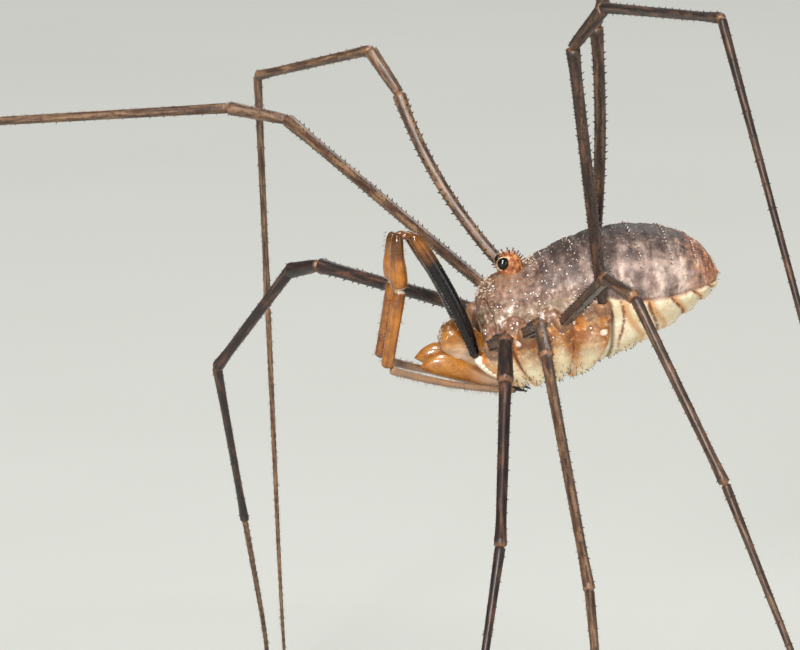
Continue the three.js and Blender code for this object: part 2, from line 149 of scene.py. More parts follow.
def ring_part(rings, start, end, **marks):
    """A closed skin from rings of points, with a fan to a pole at each end. Marks are one number a
    point, for a finish to read."""
    count, sides = rings.shape[:2]
    i, j = np.arange(count - 1)[:, None] * sides, np.arange(sides)[None, :]
    k = (j + 1) % sides
    quads = np.stack([i + j, i + k, i + sides + k, i + sides + j], -1).reshape(-1, 4)
    pole, row = count * sides, (count - 1) * sides
    j, k = j[0], k[0]
    first = np.stack([np.full(sides, pole), k, j], -1)
    final = np.stack([np.full(sides, pole + 1), row + j, row + k], -1)
    points = np.concatenate([rings.reshape(-1, 3), [start, end]])
    part = {"points": points, "quads": quads, "tris": np.concatenate([first, final]), "marks": {}}
    for name, values in marks.items():
        values = np.broadcast_to(values, (count, sides))
        part["marks"][name] = np.concatenate([values.ravel(), values[0, :1], values[-1, :1]])
    return outward(part)


def outward(part):
    """Turns the faces round if the space they close counts as negative."""
    p, q = part["points"] - part["points"].mean(0), part["quads"]
    tris = np.concatenate([part["tris"], q[:, :3], q[:, [0, 2, 3]]])
    volume = np.einsum("ij,ij->i", p[tris[:, 0]], np.cross(p[tris[:, 1]], p[tris[:, 2]])).sum()
    if volume < 0:
        part["quads"], part["tris"] = q[:, ::-1], part["tris"][:, ::-1]
    return part


def joined(parts):
    """Several parts as one. A mark that a part lacks is 0 there."""
    names = sorted({name for part in parts for name in part["marks"]})
    whole = {"points": [], "quads": [], "tris": [], "marks": {name: [] for name in names}}
    start = 0
    for part in parts:
        whole["points"].append(part["points"])
        whole["quads"].append(part["quads"] + start)
        whole["tris"].append(part["tris"] + start)
        start += len(part["points"])
        for name in names:
            whole["marks"][name].append(part["marks"].get(name, np.zeros(len(part["points"]))))
    for key in ("points", "quads", "tris"):
        whole[key] = np.concatenate(whole[key])
    whole["marks"] = {name: np.concatenate(values) for name, values in whole["marks"].items()}
    return whole


SIDES = {"left": -1, "right": 1}
BAKE_MARKS = ("first", "foot", "flat_x", "flat_y")


def bake_map(mesh, part):
    """A UV map: each small form fills a square of its own, drawn as seen from its tip, and
    its hidden foot lies small in a corner of that square."""
    first, under, *flat = [part["marks"][mark] for mark in BAKE_MARKS]
    number = np.cumsum(first).astype(int) - 1
    across = np.ceil(np.sqrt(number[-1] + 1))
    square = np.stack([number % across, number // across], 1) + 0.5
    corners = np.empty(len(mesh.loops), np.int32)
    mesh.loops.foreach_get("vertex_index", corners)
    of_quads = 4 * len(part["quads"])
    in_foot = np.zeros(len(corners), bool)
    in_foot[of_quads:] = np.repeat(under[corners[of_quads:].reshape(-1, 3)].any(1), 3)
    shift, size = np.where(in_foot, [[0.42], [0.06]], [[0.0], [0.42]])[..., None]
    places = (square[corners] + shift + size * np.stack(flat, 1)[corners]) / across
    mesh.uv_layers.new(name="OFBake").uv.foreach_set("vector", places.astype(np.float32).ravel())


def make(name, part, finish, replaced=()):
    """Puts a part that is already in the part's axes into a mesh, and gives it its finish and body."""
    mesh = bpy.data.meshes.new(name)
    faces = part["quads"].tolist() + part["tris"].tolist()
    mesh.from_pydata((part["points"] * MM).tolist(), [], faces)
    mesh.shade_smooth()
    for mark, values in part["marks"].items():
        if mark not in BAKE_MARKS:
            layer = mesh.attributes.new(mark, "FLOAT", "POINT")
            layer.data.foreach_set("value", np.asarray(values, np.float32))
    if "first" in part["marks"]:
        bake_map(mesh, part)
    mesh.materials.append(finish)
    thing = bpy.data.objects.new(name, mesh)
    bpy.context.scene.collection.objects.link(thing)
    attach(thing, "root")
    if replaced:
        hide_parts(*replaced)
    print(f"{name}: {len(mesh.vertices)} points, {len(faces)} faces")
    return thing


# %% [markdown]
# ## Articles
#
# A leg, a palp and a claw are all articles: round or slightly ridged rods with rounded ends. One
# function carries a circle along a path. The path's own bend gives the sideways direction, so the
# circle doesn't twist.

# %% A rod along a path


def frames(path):
    """Forward is the path's slope. Side is the bend's normal made square to it, and above is square
    to both."""
    forward = unit(np.gradient(path, axis=0))
    normal = np.cross(forward[0], forward[-1])
    if np.linalg.norm(normal) < 1e-3:
        normal = np.cross(forward[0], [0.31, 0.22, 0.93])
    side = unit(normal - (forward @ normal)[:, None] * forward)
    return forward, side, np.cross(side, forward)


def rod(path, radii, sides=16, ridges=0, ridge=0.0, **marks):
    """Circles on a path: the radius at a point of a circle is the ring's radius times
    1 + ridge * cos(ridges * angle)."""
    forward, side, above = frames(path)
    angle = circle(sides)
    wave = 1 + ridge * np.cos(ridges * angle)
    out = side[:, None] * np.cos(angle)[None, :, None] + above[:, None] * np.sin(angle)[None, :, None]
    rings = path[:, None] + out * (radii[:, None] * wave)[..., None]
    marks = {name: np.asarray(values)[:, None] for name, values in marks.items()}
    steps = np.linalg.norm(np.diff(path, axis=0, prepend=path[:1]), axis=1)
    run = np.cumsum(steps) + 7 * path[0].sum()
    marks.update(run=run[:, None], turn_x=np.cos(angle), turn_y=np.sin(angle))
    cap = radii[[0, -1], None] * 0.25
    return ring_part(rings, path[0] - forward[0] * cap[0], path[-1] + forward[-1] * cap[1], **marks)


def line(a, b, count):
    """Evenly spaced points from a to b."""
    t = np.linspace(0, 1, count)[:, None]
    return np.asarray(a) + (np.asarray(b) - np.asarray(a)) * t


def bend(a, control, b, count):
    """Quadratic curve that leaves a towards the control point and reaches b from it."""
    t = np.linspace(0, 1, count)[:, None]
    return (1 - t) ** 2 * np.asarray(a) + 2 * t * (1 - t) * np.asarray(control) + t**2 * np.asarray(b)


def girth(count, stations, end_round=0.06):
    """Radii along a rod, through evenly spaced stations, drawn in to a round end at both ends."""
    t = np.linspace(0, 1, count)
    edge = np.minimum(t, 1 - t) / end_round
    close = np.sqrt(np.clip(1 - (1 - np.clip(edge, 0, 1)) ** 2, 0.02, 1))
    return level(stations, t) * close


# %% A ball


def ball(middle, radius, rings=36, sides=48):
    """A sphere by its polar angle and turn, with its poles along y."""
    p, t = np.linspace(0.04, np.pi - 0.04, rings)[:, None], circle(sides)[None]
    grid = np.stack([np.sin(p) * np.cos(t), np.cos(p) * np.ones_like(t), np.sin(p) * np.sin(t)], -1)
    return ring_part(middle + grid * radius, middle + [0, radius, 0], middle - [0, radius, 0])


# %% A small form repeated


def pointed(profile, sides):
    """A unit form of a few faces, standing on z = 0: rings of the given [height, radius], then a tip."""
    angle = circle(sides)
    heights, radii = np.array(profile, float).T
    x, y = radii[:, None] * np.cos(angle), radii[:, None] * np.sin(angle)
    rings = np.stack([x, y, np.broadcast_to(heights[:, None], x.shape)], -1)
    inwards = ((1 - heights) / (1 - heights[0]))[:, None]
    form = ring_part(rings, [0, 0, heights[0]], [0, 0, 1], tip=heights[:, None], first=0.0, foot=0.0,
                     flat_x=inwards * np.cos(angle), flat_y=inwards * np.sin(angle))
    form["marks"]["first"][0] = form["marks"]["foot"][-2] = 1
    form["marks"]["flat_x"][-2:] = form["marks"]["flat_y"][-2:] = 0
    return form


def standing(form, roots, ways, heights, radii, **marks):
    """Copies of a form with their feet on roots and their tips along ways."""
    ways = unit(ways)
    helper = np.where(np.abs(ways[:, 2:]) < 0.9, [[0.0, 0.0, 1.0]], [[1.0, 0.0, 0.0]])
    side = unit(np.cross(helper, ways))
    other = np.cross(ways, side)
    n, size = len(roots), len(form["points"])
    heights, radii = np.broadcast_to(heights, n), np.broadcast_to(radii, n)
    f = form["points"]
    points = roots[:, None] + (f[:, 2] * heights[:, None])[..., None] * ways[:, None]
    points = points + (f[:, 0] * radii[:, None])[..., None] * side[:, None]
    points = points + (f[:, 1] * radii[:, None])[..., None] * other[:, None]
    shift = (np.arange(n) * size)[:, None, None]
    part = {"points": points.reshape(-1, 3), "quads": (form["quads"][None] + shift).reshape(-1, 4),
            "tris": (form["tris"][None] + shift).reshape(-1, 3),
            "marks": {name: np.tile(values, n) for name, values in form["marks"].items()}}
    for name, values in marks.items():
        part["marks"][name] = np.repeat(np.broadcast_to(values, n), size)
    return part


THORN = pointed([[-0.3, 1.0], [0.15, 0.8], [0.6, 0.42]], 6)
BEAD = pointed([[-0.3, 1.0], [0.35, 0.95], [0.8, 0.6]], 7)
HAIR = pointed([[-0.1, 1.0], [0.5, 0.7]], 3)
rng = np.random.default_rng(41)

# %% [markdown]
# ## Shader maths in Python
#
# A finish is a node tree, and a tree is easier to read as sums. The class below wraps a socket, so
# `1 - mask * 0.5` adds the Math nodes by itself, and one method adds any other node. Each finish
# reads Object coordinates or the marks that the numpy code left on the points.

# %% Socket arithmetic


def operator(operation, reflected=False):
    """An operator's method: one Math node, with its two inputs changed round if it is reflected."""
    if reflected:
        return lambda self, other: self.maths(operation, other, self)
    return lambda self, other: self.maths(operation, self, other)


class Value:
    """A socket of a node tree that can be added, multiplied and so on."""

    __add__, __radd__ = operator("ADD"), operator("ADD", True)
    __sub__, __rsub__ = operator("SUBTRACT"), operator("SUBTRACT", True)
    __mul__, __rmul__ = operator("MULTIPLY"), operator("MULTIPLY", True)
    __truediv__, __rtruediv__ = operator("DIVIDE"), operator("DIVIDE", True)
    least, most = operator("MINIMUM"), operator("MAXIMUM")

    def __init__(self, tree, socket):
        self.tree, self.socket = tree, socket

    def maths(self, operation, first, second):
        """A Math node whose inputs are linked to sockets or set to numbers."""
        node = self.tree.nodes.new("ShaderNodeMath")
        node.operation = operation
        for slot, value in zip(node.inputs, (first, second)):
            if isinstance(value, Value):
                self.tree.links.new(value.socket, slot)
            else:
                slot.default_value = value
        return Value(self.tree, node.outputs[0])

    def share(self, low, high):
        """0 below low, 1 above high, straight between them."""
        return ((self - low) / (high - low)).most(0.0).least(1.0)


class Finish:
    """A material with one Principled shader and short ways to feed it."""

    def __init__(self, name, **sockets):
        self.material = bpy.data.materials.new(name)
        self.material.use_nodes = True
        self.tree = self.material.node_tree
        self.shader = self.tree.nodes["Principled BSDF"]
        self.place = self.node("ShaderNodeTexCoord", out="Object")
        for socket, value in sockets.items():
            self.shader.inputs[socket.replace("_", " ")].default_value = value

    def node(self, kind, settings=None, out=0, **inputs):
        """Any node: its settings and a ramp's stops first, then its inputs by name or identifier. Colours
        are given on the screen's scale, 0 to 255."""
        node = self.tree.nodes.new(kind)
        for key, value in (settings or {}).items():
            if key == "stops":
                ramp = node.color_ramp.elements
                while len(ramp) < len(value):
                    ramp.new(0.5)
                for stop, (place, colour) in zip(ramp, value):
                    stop.position, stop.color = place, paint(*colour)
            else:
                setattr(node, key, value)
        for key, value in inputs.items():
            slot = next(s for s in node.inputs if key in (s.identifier, s.name.replace(" ", "_")))
            if isinstance(value, Value):
                self.tree.links.new(value.socket, slot)
            elif slot.type == "RGBA":
                slot.default_value = paint(*value)
            else:
                slot.default_value = value
        outputs = node.outputs
        socket = outputs[out] if isinstance(out, int) else next(s for s in outputs if s.identifier == out)
        return Value(self.tree, socket)

    def mark(self, name):
        """A number that the numpy code left on the points."""
        return self.node("ShaderNodeAttribute", {"attribute_name": name}, out="Fac")

    def noise(self, size, detail=3.0, rough=0.55, place=None, stretch=None):
        """Noise whose features are about size millimetres across."""
        place = place or self.place
        if stretch:
            place = self.node("ShaderNodeMapping", Vector=place, Scale=stretch)
        return self.node("ShaderNodeTexNoise", out="Fac", Vector=place, Scale=1 / (size * MM),
                         Detail=detail, Roughness=rough)

    def grain(self, length, width, detail=3.0):
        """Noise that follows a rod: its features are length millimetres long and width across."""
        place = self.node("ShaderNodeCombineXYZ", X=self.mark("run") * (1 / length),
                          Y=self.mark("turn_x") * (0.2 / width), Z=self.mark("turn_y") * (0.2 / width))
        return self.node("ShaderNodeTexNoise", out="Fac", Vector=place, Scale=1.0, Detail=detail,
                         Roughness=0.6)

    def cells(self, size, feature="F1"):
        """Distance inside a random net whose meshes are about size millimetres across."""
        return self.node("ShaderNodeTexVoronoi", {"feature": feature}, out="Distance", Vector=self.place,
                         Scale=1 / (size * MM))

    def ramp(self, value, *stops):
        """A colour by a number, between stops of (place, colour)."""
        return self.node("ShaderNodeValToRGB", {"stops": stops}, out="Color", Fac=value)

    def mix(self, share, first, second):
        """The first colour where the share is 0 and the second where it is 1."""
        return self.node("ShaderNodeMix", {"data_type": "RGBA"}, out="Result_Color", Factor_Float=share,
                         A_Color=first, B_Color=second)

    def over(self, tone, *layers):
        """A tone with layers of (share, colour) laid over it, one after another."""
        for share, colour in layers:
            tone = self.mix(share, tone, colour)
        return tone

    def feed(self, name, value):
        """Links a value to a socket of the shader."""
        self.tree.links.new(value.socket, self.shader.inputs[name])

    def colour(self, value):
        """Links the colour."""
        self.feed("Base Color", value)

    def rough(self, value):
        """Links the roughness."""
        self.feed("Roughness", value)

    def bump(self, height, depth, strength=1.0):
        """Bump from a height of 0 to 1 that stands for so many millimetres."""
        self.feed("Normal", self.node("ShaderNodeBump", out="Normal", Height=height, Distance=depth * MM,
                                      Strength=strength))


def paint(red, green, blue):
    """A colour of the screen, 0 to 255, as the light it stands for."""
    c = np.array([red, green, blue]) / 255
    return (*np.where(c <= 0.04045, c / 12.92, ((c + 0.055) / 1.055) ** 2.4).tolist(), 1)


# %% [markdown]
# ## The trunk
#
# Carapace and abdomen are broadly joined in a harvestman, so the trunk is one skin from the front
# margin to the tail. The body is an oval between a back outline and a belly outline. The coxae of
# the legs lie under it like four fingers on each side, from the hips down to the mouth. A smooth
# maximum lifts the skin over them, which leaves a cleft wherever two of them meet.

# %% The trunk's outlines
BACK = [[-3.46, 0.7], [-3.3, 1.36], [-2.75, 1.82], [-1.82, 1.9], [-1.3, 2.12], [-0.3, 2.3],
        [0.7, 2.32], [1.8, 2.08], [2.7, 1.63], [3.3, 0.98], [3.54, 0.2]]
BELLY = [[-3.46, 0.7], [-3.36, -0.4], [-3.05, -1.0], [-2.4, -1.3], [-1.4, -1.4], [-0.3, -1.36],
         [0.7, -1.16], [1.7, -0.87], [2.6, -0.52], [3.25, -0.2], [3.54, 0.2]]
HALF_WIDTHS = [0, 0.95, 1.32, 1.45, 1.55, 1.68, 1.76, 1.7, 1.4, 0.86, 0]
COXA_INNER = np.array([[-2.75, 0.24, -1.4], [-2.3, 0.24, -1.5], [-1.8, 0.24, -1.5], [-1.2, 0.24, -1.42]])
COXA_OUTER = np.array([[-3.3, 1.2, 0.1], [-2.36, 1.48, 0.25], [-1.35, 1.58, 0.28], [-0.2, 1.66, 0.3]])
PALP_COXA = np.array([[-3.0, 0.3, -1.1], [-3.5, 0.86, -0.3]])
FINGERS = [([[-3.31, 0.99, 0.45], [-3.05, 1.16, -0.16], [-2.48, 0.31, -1.23]], [0.34, 0.4, 0.2]),
           ([[-2.66, 1.37, 0.55], [-2.42, 1.27, -0.41], [-2.08, 0.34, -1.3]], [0.38, 0.46, 0.18]),
           ([[-1.64, 1.5, 0.5], [-1.54, 1.39, -0.38], [-1.65, 0.35, -1.34]], [0.4, 0.42, 0.17]),
           ([[-0.5, 1.66, 0.5], [-0.62, 1.49, -0.32], [-1.03, 0.38, -1.35]], [0.5, 0.54, 0.26])]
FINGER_HEIGHT = 0.2
TRUNK_RINGS, TRUNK_SIDES = 320, 250

u = np.linspace(0, 1, TRUNK_RINGS)
ALONG = (0.004 + 0.992 * (u - 0.07 * np.sin(2 * np.pi * u)))[:, None] * np.ones((1, TRUNK_SIDES))
AROUND = circle(TRUNK_SIDES)[None, :] * np.ones((TRUNK_RINGS, 1))
bare = oval(BACK, BELLY, HALF_WIDTHS, ALONG, AROUND)


def normals(grid):
    """Square to both slopes of the grid: along it and around it."""
    wrapped = np.concatenate([grid[:, -1:], grid, grid[:, :1]], 1)
    down = np.gradient(grid, axis=0)
    across = np.gradient(wrapped, axis=1)[:, 1:-1]
    n = unit(np.cross(across, down))
    centre = grid.mean(1, keepdims=True)
    return n * np.sign(np.sum(n * (grid - centre), -1).mean())


bare_normals = normals(bare)
print("bare trunk:", bare.reshape(-1, 3).min(0).round(2), bare.reshape(-1, 3).max(0).round(2))

# %% Lift over the coxae


def reach(points, ways, a, b, radius_a, radius_b):
    """How far a point has to go along its way to leave a capsule: with w the way to the nearest point
    of the capsule's axis, it is w·n + sqrt(radius² − |w|² + (w·n)²), falling off outside it."""
    axis = b - a
    t = np.clip(((points - a) @ axis) / (axis @ axis), 0, 1)
    w = a + t[..., None] * axis - points
    radius = radius_a + (radius_b - radius_a) * t
    h = np.sum(w * ways, -1)
    aside = np.sqrt(np.maximum(np.sum(w * w, -1) - h * h, 0))
    inside = np.sqrt(np.maximum(radius**2 - aside**2, 0))
    return h + inside - 3 * np.maximum(aside - radius, 0)


def finger(points, knots, half_widths):
    """Height over a finger: FINGER_HEIGHT * sqrt(1 - (d / w)²), with d the distance to the finger's
    middle line and w its half width there. Outside it the height falls below 0."""
    t = np.linspace(0, 1, 40)
    gaps = np.linalg.norm(points[..., None, :] - through(knots, t), axis=-1) / level(half_widths, t)
    nearest = gaps.min(-1)
    return FINGER_HEIGHT * np.sqrt(np.clip(1 - nearest**2, 0, 1)) - 0.5 * np.maximum(nearest - 1, 0)


SOFTNESS = 0.02
fingers, knobs = [], []
for side in SIDES.values():
    flip = np.array([1, side, 1])
    fingers += [finger(bare, np.array(knots) * flip, widths) for knots, widths in FINGERS]
    for inner, outer in zip(COXA_INNER, COXA_OUTER):
        knobs.append(reach(bare, bare_normals, inner * flip, outer * flip, 0.2, 0.36))
    knobs.append(reach(bare, bare_normals, PALP_COXA[0] * flip, PALP_COXA[1] * flip, 0.26, 0.27))
lifts = np.stack(fingers + knobs)
lift = SOFTNESS * np.log(1 + np.exp(np.clip(lifts / SOFTNESS, -40, 40)).sum(0))
two_best = np.sort(np.stack(fingers), axis=0)[-2:]
best_knob = np.max(knobs, axis=0)
on_coxa = np.maximum(smooth(-0.02, 0.08, two_best[1]), smooth(0.0, 0.12, best_knob))
crest_height = np.clip(two_best[1] / FINGER_HEIGHT, 0, 1)
# The cleft mask deepens the relief where two coxae meet, and the finish also paints shade into it.
cleft = np.exp(-(((two_best[1] - two_best[0]) / 0.05) ** 2)) * smooth(-0.25, -0.05, two_best[0])
cleft = cleft * smooth(0.12, 0.0, best_knob - two_best[1])
print("greatest lift:", lift.max().round(3), "mm")

# %% [markdown]
# ## Plates and folds of the trunk
#
# The dark back and the pale belly meet along a border that drops towards the tail. The belly has
# five plates that show as lines and bulge between them, the back has shallow folds between rows of
# tubercles, and a groove runs from the front margin down to the first coxa. Each is a height along a
# line of the grid, in millimetres, and its line is also handed to the finish as a mark.

# %% Border, plates and folds
BORDER = [[0.0, 36], [0.1, 38], [0.2, 58], [0.3, 60], [0.4, 65], [0.5, 76], [0.6, 92], [0.7, 103],
          [0.8, 111], [0.9, 120], [1.0, 150]]
BELLY_LINES = [0.575, 0.648, 0.715, 0.785, 0.85]
BELLY_SKEW = [-0.035, 0.015, 0.035, 0.04, 0.04]
BACK_FOLDS = [0.345, 0.43, 0.515, 0.6, 0.685, 0.77, 0.85]

from_top = np.abs((np.degrees(AROUND) - 90 + 180) % 360 - 180)
border = level([angle for _, angle in BORDER], ALONG)
belly = smooth(-4, 4, from_top - border)


def ridge_line(distance, width):
    """A bell: 1 on the line, falling with the square of the distance."""
    return np.exp(-((distance / width) ** 2))


low_share = smooth(100, 140, from_top)
plates = sum(ridge_line(ALONG - place - skew * low_share, 0.006)
             for place, skew in zip(BELLY_LINES, BELLY_SKEW)) * belly * smooth(0.53, 0.55, ALONG)
folds = sum(ridge_line(ALONG - place, 0.009) for place in BACK_FOLDS) * (1 - belly)
border_line = ridge_line(from_top - border, 3.5) * smooth(0.5, 0.62, ALONG)
# The groove and the step are relief, and their mark also carries painted shade to the finish.
groove_angle = level([10, 20, 50, 90, 105], np.clip((ALONG - 0.1) / 0.08, 0, 1))
face_groove = ridge_line(from_top - groove_angle, 9) * smooth(0.09, 0.11, ALONG) * smooth(0.19, 0.16, ALONG)
step_behind_coxa = ridge_line(ALONG - level([0.5, 0.545, 0.53, 0.5], from_top / 180), 0.008)
step_behind_coxa = step_behind_coxa * smooth(75, 95, from_top)


def ripple(points, size, seed, waves=7):
    """A sum of sines in random directions, with a wavelength of about size. It stays within 1."""
    draw = np.random.default_rng(seed)
    ways = unit(draw.normal(size=(waves, 3))) * draw.uniform(0.7, 1.4, (waves, 1)) * 2 * np.pi / size
    return np.sin(points @ ways.T + draw.uniform(0, 6.28, waves)).sum(-1) / waves


FIRST_PLATE, PLATE_LENGTH, PLATE_SKEW = 0.575, 0.07, 0.03
flank = smooth(40, 60, from_top) * smooth(118, 92, from_top) * smooth(0.56, 0.48, ALONG)
warts = smooth(0.42, 0.32, ALONG) * smooth(16, 34, from_top) * smooth(112, 90, from_top) * (1 - on_coxa)
wart_heights = ripple(bare, 0.2, 21, 14)
bulge = smooth(0.5, 0.6, ALONG) * belly
plate_place = (ALONG - FIRST_PLATE - PLATE_SKEW * low_share) / PLATE_LENGTH
plate_wave = np.abs(np.sin(np.pi * plate_place)) * bulge
behind_line = (0.5 + 0.5 * np.cos(2 * np.pi * (plate_place - 0.12))) ** 4 * bulge
RELIEF = [(-0.04, plates), (-0.03, folds), (-0.04, border_line), (-0.06, face_groove),
          (-0.05, step_behind_coxa), (-0.06, cleft),
          (0.02, ripple(bare, 0.9, 3) * (1 - on_coxa)), (0.012, ripple(bare, 0.22, 5, 12)),
          (0.007, ripple(bare, 0.09, 8, 16)), (0.035, ripple(bare, 0.28, 11, 14) * flank),
          (0.05, wart_heights * warts), (0.035, plate_wave), (0.04, plate_wave * low_share)]
relief = sum(height * where for height, where in RELIEF)
trunk = bare + bare_normals * (lift + relief)[..., None]
trunk_normals = normals(trunk)
ends = bare[[0, -1]].mean(1)
BANDS = [0.385, 0.475, 0.56, 0.645, 0.73, 0.81]
bands = sum(ridge_line(ALONG - place + 0.02 * from_top / 180, 0.016) for place in BANDS) * (1 - belly)
blush = ridge_line((from_top - border - 4) / 16, 1.0) * smooth(0.56, 0.5, ALONG)
blush = np.maximum(blush, smooth(0.1, 0.0, np.abs(from_top - 78) / 100 - 0.05) * smooth(0.5, 0.4, ALONG))
PALE_SPOTS = [[0.62, 40], [0.66, 40], [0.64, 62], [0.68, 61], [0.717, 64], [0.69, 77], [0.61, 59],
              [0.65, 81], [0.76, 66], [0.56, 50], [0.52, 60], [0.8, 82]]
DARK_SPOTS = [[0.64, 71], [0.69, 69], [0.745, 32], [0.71, 22], [0.79, 40], [0.59, 43], [0.8, 66],
              [0.66, 50]]


def blobs(places, length, breadth):
    """Soft spots at [share along, degrees from the top], the same on both sides."""
    distances = [((ALONG - a) / length) ** 2 + ((from_top - d) / breadth) ** 2 for a, d in places]
    return np.exp(-np.min(distances, axis=0))


face = smooth(0.21, 0.16, ALONG) * smooth(28, 42, from_top) * smooth(128, 108, from_top)
blush = np.maximum(blush, face)
trunk_part = ring_part(trunk, ends[0], ends[1], belly=belly, cleft=np.clip(cleft, 0, 1), coxa=on_coxa,
                       plates=plates, border=border_line, groove=np.maximum(face_groove, step_behind_coxa),
                       along=ALONG, low=from_top / 180, bands=bands, blush=blush, crest=crest_height,
                       warm=behind_line, pale=blobs(PALE_SPOTS, 0.016, 6), dark=blobs(DARK_SPOTS, 0.013, 5),
                       pits=np.clip(-wart_heights * 3, 0, 1) * warts)
print("trunk grid:", trunk.shape)

# %% [markdown]
# ## The trunk's finish
#
# The back is grey-brown with pinkish clouds, dark bands and spots, and turns orange-red at the tail.
# The belly is cream with a weak orange patch behind each line, and the coxae run from cream at the
# mouth to orange at the hips; the orange along the coxae's edges is painted shade next to the clefts.
# Dark brown in the clefts between the coxae, in the groove and in the hollows between the warts is
# painted shade. The clouds are noise in the body's own place, the rest comes from the marks. Each
# tone is a ramp with layers of (share, colour) over it.

# %% Back, belly and coxae in one finish
skin = Finish("trunk_cuticle", Subsurface_Weight=0.1, Subsurface_Scale=0.0002, Specular_IOR_Level=0.35)
cloud = skin.noise(1.0, 4.0, 0.6)
mottle = skin.noise(0.36, 4.0, 0.65)
fleck = skin.noise(0.12, 3.0, 0.6)
streak = skin.noise(0.24, 4.0, 0.65, stretch=(1.0, 0.35, 0.35))
along, low = skin.mark("along"), skin.mark("low")
clouded = cloud * 0.25 + mottle * 0.3 + streak * 0.45 + low.share(0.14, 0.4) * 0.07
back_tone = skin.ramp(clouded.share(0.42, 0.62),
                      (0.0, (72, 56, 50)), (0.3, (108, 88, 79)), (0.55, (140, 117, 106)),
                      (0.8, (170, 146, 133)), (1.0, (204, 182, 168)))
top_dark = (1 - low.share(0.05, 0.34)) * along.share(0.3, 0.5) * (1 - along.share(0.84, 0.92))
tail = (along + (mottle - 0.5) * 0.25).share(0.77, 0.9)
tail_tone = skin.ramp((streak * 0.6 + fleck * 0.4).share(0.4, 0.6), (0.0, (84, 48, 36)),
                      (0.3, (158, 90, 54)), (0.65, (204, 136, 88)), (1.0, (242, 212, 172)))
grains = 1 - skin.cells(0.13).share(0.15, 0.45)
front = 1 - along.share(0.24, 0.38)
pale_spot, dark_spot = ((skin.mark(name) + (fleck - 0.5) * 1.2).share(0.2, 1.0)
                        for name in ("pale", "dark"))
back_tone = skin.over(back_tone, (fleck.share(0.54, 0.66) * 0.5, (58, 40, 36)),
                      (top_dark * (0.6 + 0.5 * streak), (44, 35, 32)),
                      (skin.mark("bands") * streak.share(0.35, 0.6) * 0.7, (46, 32, 30)),
                      (tail * 0.85, tail_tone),
                      (grains * mottle.share(0.4, 0.6) * 0.3, (206, 178, 164)),
                      (pale_spot * 0.45, (204, 178, 164)), (dark_spot * 0.55, (60, 42, 40)),
                      (front * mottle.share(0.36, 0.6) * 0.8, (132, 88, 58)),
                      (front * fleck.share(0.5, 0.62) * 0.5, (180, 150, 120)))
blush_tone = skin.ramp((mottle * 0.6 + fleck * 0.4).share(0.4, 0.62), (0.0, (72, 44, 34)),
                       (0.4, (108, 78, 62)), (0.75, (152, 124, 106)), (1.0, (214, 198, 190)))
belly_tone = skin.ramp(mottle.share(0.3, 0.7), (0.0, (210, 184, 142)), (0.5, (226, 208, 172)),
                       (1.0, (242, 230, 208)))
patch = (skin.mark("warm") * 1.1 + (mottle - 0.5) * 0.8 - low.share(0.6, 1.0) * 0.5).share(0.1, 0.9)
# Painted shade: orange along the coxae's edges next to the clefts. The orange on their upper part towards
# the hips is their own colour.
coxa_edge_shade = 1 - skin.mark("crest").share(0.6, 1.0)
upper = 1 - low.share(0.55, 0.74)
orange_and_edge_shade = (coxa_edge_shade * 0.75 + upper * 0.8 + (cloud - 0.5) * 1.2).share(0.15, 1.0)
coxa_tone = skin.over((238, 220, 182), (orange_and_edge_shade, (198, 128, 62)),
                      (fleck.share(0.56, 0.64) * 0.5, (246, 234, 216)),
                      (upper * mottle.share(0.42, 0.56) * 0.75, (118, 66, 44)))
belly_tone = skin.over(belly_tone, (patch * 0.7, (206, 142, 78)),
                       (skin.mark("coxa").share(0.2, 0.7), coxa_tone))
ragged = (skin.mark("belly") + (mottle - 0.5) * 0.9).share(0.3, 0.7)
on_face = (skin.mark("blush") * 1.3 + (mottle - 0.5) * 0.8).share(0.4, 0.9)
lines = (skin.mark("plates") * fleck.share(0.3, 0.5)).most(skin.mark("border") * 0.6)
skin.colour(skin.over(back_tone, (ragged, belly_tone), (on_face * 0.85, blush_tone),
                      # Painted shade: darker brown in the hollows between the warts.
                      (skin.mark("pits") * (0.35 + 0.6 * fleck), (92, 58, 44)),
                      (lines.share(0.2, 0.8) * 0.85, (120, 48, 20)),
                      # Painted shade: dark brown laid into the clefts between the coxae.
                      (skin.mark("cleft").share(0.25, 0.9) * 0.85, (104, 52, 22)),
                      (along.share(0.965, 0.985) * 0.9, tail_tone),
                      # Painted shade: dark brown in the face groove and along the step behind the coxae.
                      (skin.mark("groove").share(0.2, 0.9) * 0.75, (80, 42, 26))))
skin.rough(0.42 + 0.25 * mottle)
skin.bump(mottle * 0.3 + fleck * 0.4 + grains * 0.3, 0.035, 0.8)

make("trunk_skin", on_body(trunk_part), skin.material, ("prosoma", "opisthosoma"))

# %% [markdown]
# ## Tubercles and bristles of the trunk
#
# Rows of tiny tubercles with white tips cross the back, a cluster stands behind the eyes, spiky ones
# edge the front margin and loose white granules lie over the carapace. Pearls of soft skin swell at
# the hips, and a tuft of black bristles stands under the coxae. Apart from the pearls, each is a few
# faces, copied onto points of the trunk's grid.

# %% Places on the trunk


def on_trunk(along, degrees):
    """Nearest grid point and its normal for each [share along, degrees around]."""
    row = np.abs(ALONG[:, 0][None] - np.asarray(along, float)[:, None]).argmin(1)
    column = np.round(np.asarray(degrees, float) / 360 * TRUNK_SIDES).astype(int) % TRUNK_SIDES
    return trunk[row, column], trunk_normals[row, column]


def tubercles(along, degrees, height, radius, lean, form=THORN):
    """Forms on the trunk that lean backwards or forwards, each a little different in size."""
    roots, ways = on_trunk(along, degrees)
    size = rng.uniform(0.7, 1.25, len(roots))
    return standing(form, roots, ways + np.array([lean, 0, 0]), height * size, radius * size)


